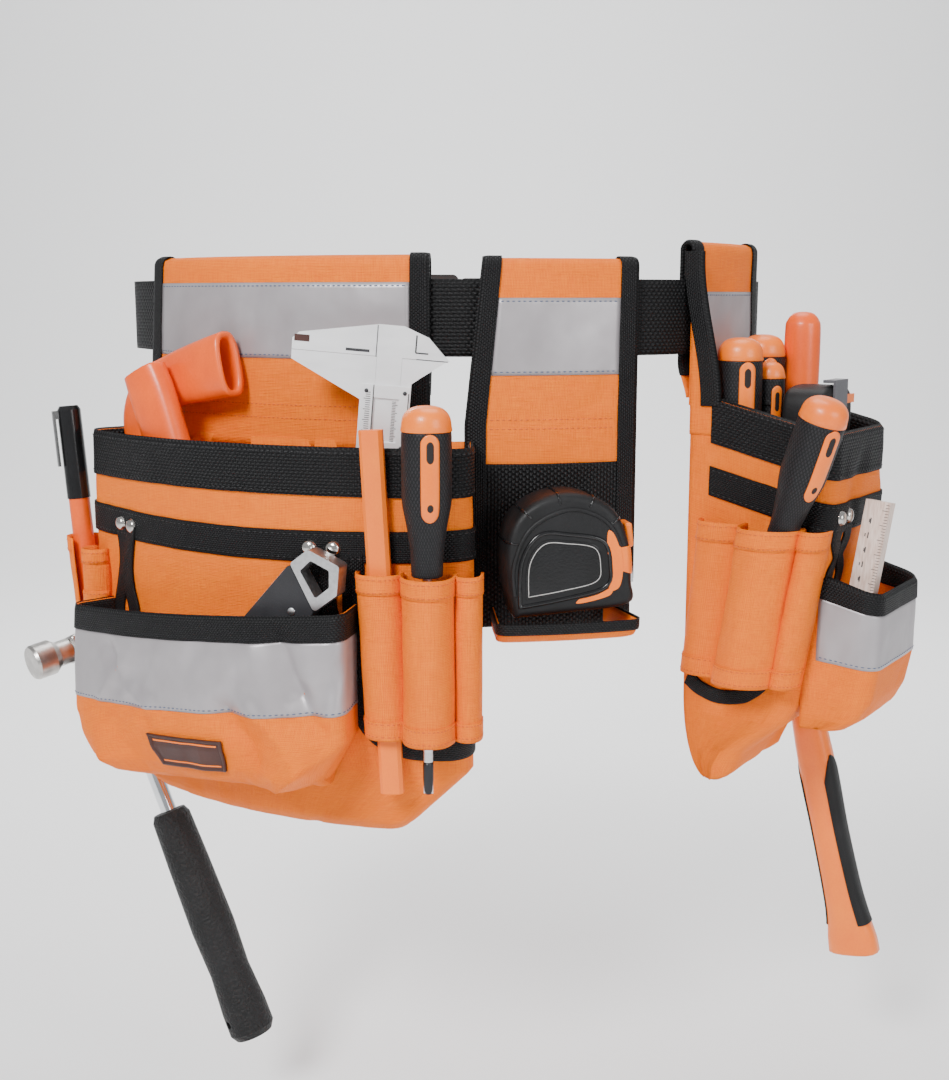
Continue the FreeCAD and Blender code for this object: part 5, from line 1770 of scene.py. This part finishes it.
# %% The belt's tape measure
tape_up = Vector((-0.10, 0, 0.995)).normalized()
tape_place = upright_at(polar(FRONT_AXIS, 315.5, 11.3, -148), tape_up, direction(8))
tape_outline = [(-38, -37), (0, -38), (37, -37), (40, -22), (40.5, 2), (34, 23), (20, 35), (2, 40),
                (-18, 36.5), (-33, 25), (-40, 6), (-40.5, -18)]
TAPE_HALF = 20.5
case = Pillow(tape_place, tape_outline, TAPE_HALF, (0.13, 6.5))
case.solid("tape_shell", SOFT_BLACK, "tape", "black_rubber", ["tape_case"])
face_y = -TAPE_HALF
label_outline = [(-30, -25), (-6, -23.5), (17, -20), (21, -9), (18, 4), (0, 9.5), (-16, 11), (-27, -2)]
face_panel("tape_label", tape_place, label_outline, face_y + 0.2, GLOSS_BLACK, "tape", 0.7)
LINE_GREY = moulded("pale_print", colour(0.50, 0.49, 0.47), colour(0.38, 0.37, 0.36), 0.4)
face_ridge("tape_label_line", tape_place, [(x * 0.94, z * 0.9 - 0.9) for x, z in label_outline],
           face_y - 0.55, 0.28, LINE_GREY, "tape")
armour = [(-37, -22), (-36, -4), (-27, 15), (-14, 25), (4, 29), (19, 24), (29, 15), (34, 2)]
face_ridge("tape_armour_edge", tape_place, armour, face_y + 0.5, 1.6, SOFT_BLACK, "tape",
           False)
face_ridge("tape_face_ridge", tape_place, [(x * 1.19 + 1.5, z * 1.24 + 1.5) for x, z in label_outline],
           face_y + 0.35, 1.5, GLOSS_BLACK, "tape")
inset = [(23, -27), (31, -24), (34.5, -10), (33, 5), (27, 13), (25, 0), (27, -12)]
face_panel("tape_inset", tape_place, inset, face_y + 0.1, ORANGE_PLASTIC, "tape", 0.8)
inset_foot = [(4, -29), (16, -27.5), (26, -24), (24, -29), (10, -31.5), (2, -31.5)]
face_panel("tape_inset_foot", tape_place, inset_foot, face_y + 0.1, ORANGE_PLASTIC, "tape",
           0.6)


def over_crown(name, at, finish, off=0.35, wide=0.42):
    """Narrow band over the case from face to face."""
    def shape(a, b):
        return case.at(at + a, b, off)
    last = len(case.section) - 3
    bm = sheet_mesh(shape, (-wide / 2, wide / 2), (2, last), 0.22)
    return piece(name, bm, finish, "tape", (), 0.7)


for k, at in enumerate((29.0, 36.0, 43.5, 51.0, 58.0)):
    over_crown("tape_seam_" + str(k + 1), at, GLOSS_BLACK)
over_crown("tape_nose_band", 21.5, ORANGE_PLASTIC, 0.5, 4.5)
print("tape measure done")

# %% [markdown]
# ## Small tools
# The pocket tape is a smaller pillow with an orange foot. The file's handle is turned wood under
# red-orange paint. The folding rule keeps its own stack of slats and gets printed ticks, and the
# knife gets a metal rail along its edge.

# %% Pocket tape, file, rule and knife details
pocket_place = upright_at(at_hip(-5.5, 72.5, -46), UP, OUT)
pocket_outline = [(-27, -61), (0, -62), (27, -61), (27.5, -30), (26, -8), (14, -0.5), (-14, -0.5),
                  (-26, -8), (-27.5, -30)]
pocket_case = Pillow(pocket_place @ Matrix.Translation((0, -2, 0)), pocket_outline, 15.0, (0.1, 4.0))
pocket_case.solid("pocket_tape_shell", SOFT_BLACK, "pocket_tape", "black_rubber", ["pocket_tape_case"])
bars("pocket_tape_foot", pocket_place, [(0, -2, -60.0, 52, 3.4)], ORANGE_PLASTIC, "pocket_tape",
     31.5)
bars("pocket_tape_band", pocket_place, [(18.5, -14.5, -9.5, 16, 6)], ORANGE_PLASTIC, "pocket_tape",
     8.0)
file_place = upright_at(at_hip(36.8, 45.5, 3), UP)
file_outline = [(0.0, -118), (7.6, -118), (8.4, -112), (9.2, -98), (11.6, -76), (12.6, -52), (12.6, -14),
                (11.2, -6), (7.4, -1.4), (3.2, -0.1), (0.0, 0.0)]
turned_solid("file_grip", smooth_line(file_outline, 5), file_place, DEEP_ORANGE, "round_file",
             ["round_file"])
bars("file_shank", file_place, [(0, 0, -172, 12, 110)], WORN_STEEL, "round_file", 4.0)

rule_up = Vector(JOINT["rule_pull"]["axis"])
rule_place = upright_at(at_hip(-28, 109.5, -258), rule_up, -ALONG)
ticks = [(7.2, -5.5, 62 + k * 2.0, 2.6, 0.35) if k % 5 else (6.25, -5.5, 62 + k * 2.0, 4.5, 0.35)
         for k in range(38)]
bars("rule_ticks", rule_place, ticks, ENGRAVED, "folding_rule", 0.25)
rule_marks = [(-2.5, -5.5, 74 + k * 10.0, 0.7, 4.0) for k in range(6)]
rule_marks += [(-4.5 + (k % 2) * 1.2, -5.5, 74 + k * 10.0, 0.6, 2.2) for k in range(6)]
bars("rule_strokes", rule_place, rule_marks, ENGRAVED, "folding_rule", 0.25)

knife_tilt = math.radians(48)
knife_up = direction(72) * math.cos(knife_tilt) + UP * math.sin(knife_tilt)
knife_place = upright_at(polar(FRONT_AXIS, 353.5, -13.6, -146), knife_up, direction(-18))
bars("knife_rail", knife_place, [(-15.6, y, -80, 3.2, 108) for y in (-4.4, 4.4)], CAST_ZINC, "knife",
     3.0)
bars("knife_red_edge", knife_place, [(-16.9, 0, -80, 1.4, 100)], DEEP_ORANGE, "knife", 5.0)
screws("knife_screw", knife_place, [(4, -6.4, -44)], 2.6, SATIN_STEEL, "knife")

# %% [markdown]
# ## Finishes for the frame's own solids
# Some of the frame's solids are already the right shape: blades, the hammer's head, shaft and grip,
# the caliper's plates, the buckle. They only need a real finish in place of their plain colour.

# %% Finish what stays
def rule_wood():
    made, start = material("pale_lacquered_wood", Roughness=0.45, Coat_Weight=0.2)
    place = object_place(start)
    grain = place.noise(1.0, 4.0, (700, 700, 25))
    return feed(made, grain, 0.00015, Roughness=grain * 0.15 + 0.35,
                Base_Color=grain.between(0.3, 0.7).tint(colour(0.62, 0.44, 0.36), colour(0.80, 0.64, 0.56)))


BRIGHT_STEEL = metal("satin_tool_steel", (0.93, 0.93, 0.94), 0.36, (1, 1, 4), 50.0, shine=0.4, shade=0.92)
STAYS = {
    BUCKLE_BLACK: ["buckle_socket", "buckle_plug", "buckle_prong_top", "buckle_prong_bottom"],
    ORANGE_PAINT: ["carpenter_pencil"],
    DEEP_ORANGE: ["marker_barrel"],
    ORANGE_PLASTIC: ["tape_lock"],
    GLOSS_BLACK: ["marker_cap"],
    BRIGHT_STEEL: ["caliper_beam", "caliper_slider"],
    SATIN_STEEL: ["front_driver_blade", "side_driver_blade", "long_driver_blade", "rear_driver_blade",
                  "tape_blade"],
    PAINTED_HEAD: ["claw_hammer_head"],
    CHROME: ["claw_hammer_shaft"],
    PEBBLED: ["claw_hammer_grip"],
    WORN_STEEL: ["club_hammer_head"],
    DARK_GREY: ["knife_body"],
    MID_GREY: ["pocket_tape_clip"],
    SOFT_BLACK: ["knife_slider"],
    CAST_ZINC: ["knife_loop"],
    rule_wood(): ["folding_rule"],
}
for finish, names in STAYS.items():
    for node_name in names:
        node_mesh = frame["nodes"][node_name].data
        node_mesh.materials.clear()
        node_mesh.materials.append(finish)
print("finished", sum(len(names) for names in STAYS.values()), "solids of the frame")

# %% [markdown]
# ## Floor, light and camera
# The belt is worn, so it hangs as it would on its wearer, above a plain pale floor that rises into
# a plain backdrop. Large soft lights show relief without hard shadows: a key from the upper left, a
# fill from the right, one from above and behind for the webbing's edges, and one on the backdrop.
# The backdrop is one strip: flat, then a quarter turn, then upright.

# %% Floor and backdrop
FLOOR_DROP = 0.06
floor_z = cad_low.z - FLOOR_DROP


def make_backdrop():
    bm = bmesh.new()
    bmesh.ops.create_grid(bm, x_segments=2, y_segments=48, size=0.5)
    for vert in bm.verts:
        share = vert.co.y + 0.5
        bend = min(max((share - 0.55) / 0.2, 0.0), 1.0) * math.pi / 2
        rise = max(share - 0.75, 0.0) * 16
        y = -3.5 + min(share, 0.55) * 10 + 1.6 * math.sin(bend)
        vert.co = (vert.co.x * 12, y, floor_z + 1.6 * (1 - math.cos(bend)) + rise)
    bmesh.ops.recalc_face_normals(bm, faces=bm.faces)
    mesh = bpy.data.meshes.new("backdrop")
    bm.to_mesh(mesh)
    bm.free()
    mesh.shade_smooth()
    made = bpy.data.objects.new("backdrop", mesh)
    bpy.context.scene.collection.objects.link(made)
    finish, _ = material("pale_studio", Base_Color=colour(0.86, 0.86, 0.86), Roughness=0.9)
    mesh.materials.append(finish)


make_backdrop()
print("floor at", round(floor_z, 3), "m")

# %% [markdown]
# ## Lights
# Each lamp is a soft disc, placed and aimed in metres. The key is the smallest, so that seams and
# weave still cast a little shade, and a weak even sky lifts the shadows.

# %% Lights
def soft_light(name, place, target, size, watts):
    lamp = bpy.data.lights.new(name, "AREA")
    lamp.shape = "DISK"
    lamp.size = size
    lamp.energy = watts
    made = bpy.data.objects.new(name, lamp)
    made.location = place
    made.rotation_euler = (Vector(target) - Vector(place)).to_track_quat("-Z", "Y").to_euler()
    bpy.context.scene.collection.objects.link(made)


soft_light("key", (-0.9, -1.9, 1.3), (0, -0.1, -0.2), 0.8, 72)
soft_light("fill", (1.6, -1.7, 0.5), (0.1, -0.1, -0.2), 1.2, 22)
soft_light("top", (0.2, 0.5, 1.8), (0, 0, -0.2), 1.5, 26)
soft_light("backdrop_wash", (0.0, 0.9, 1.5), (0, 3.2, 0.1), 2.0, 90)
world = bpy.data.worlds.new("studio")
world.use_nodes = True
world.node_tree.nodes["Background"].inputs["Color"].default_value = colour(0.95, 0.97, 1.0)
world.node_tree.nodes["Background"].inputs["Strength"].default_value = 0.5
bpy.context.scene.world = world

# %% [markdown]
# The camera stands about a metre in front of the wearer, a little above the belt, and looks ten
# degrees down. Its lens takes in the whole belt from the top of the pouches to the hammers' ends.

# %% Camera
view_camera = bpy.data.cameras.new("camera")
view_camera.lens = 46.15
view_camera.sensor_width = 36.0
camera = bpy.data.objects.new("camera", view_camera)
camera.location = (0.0209, -1.0514, 0.0142)
camera.rotation_euler = (math.radians(80), 0, 0)
bpy.context.scene.collection.objects.link(camera)
bpy.context.scene.camera = camera

# %% Print the frame's box and finish
print("cad", [round(v, 3) for v in (*cad_low, *cad_high)])
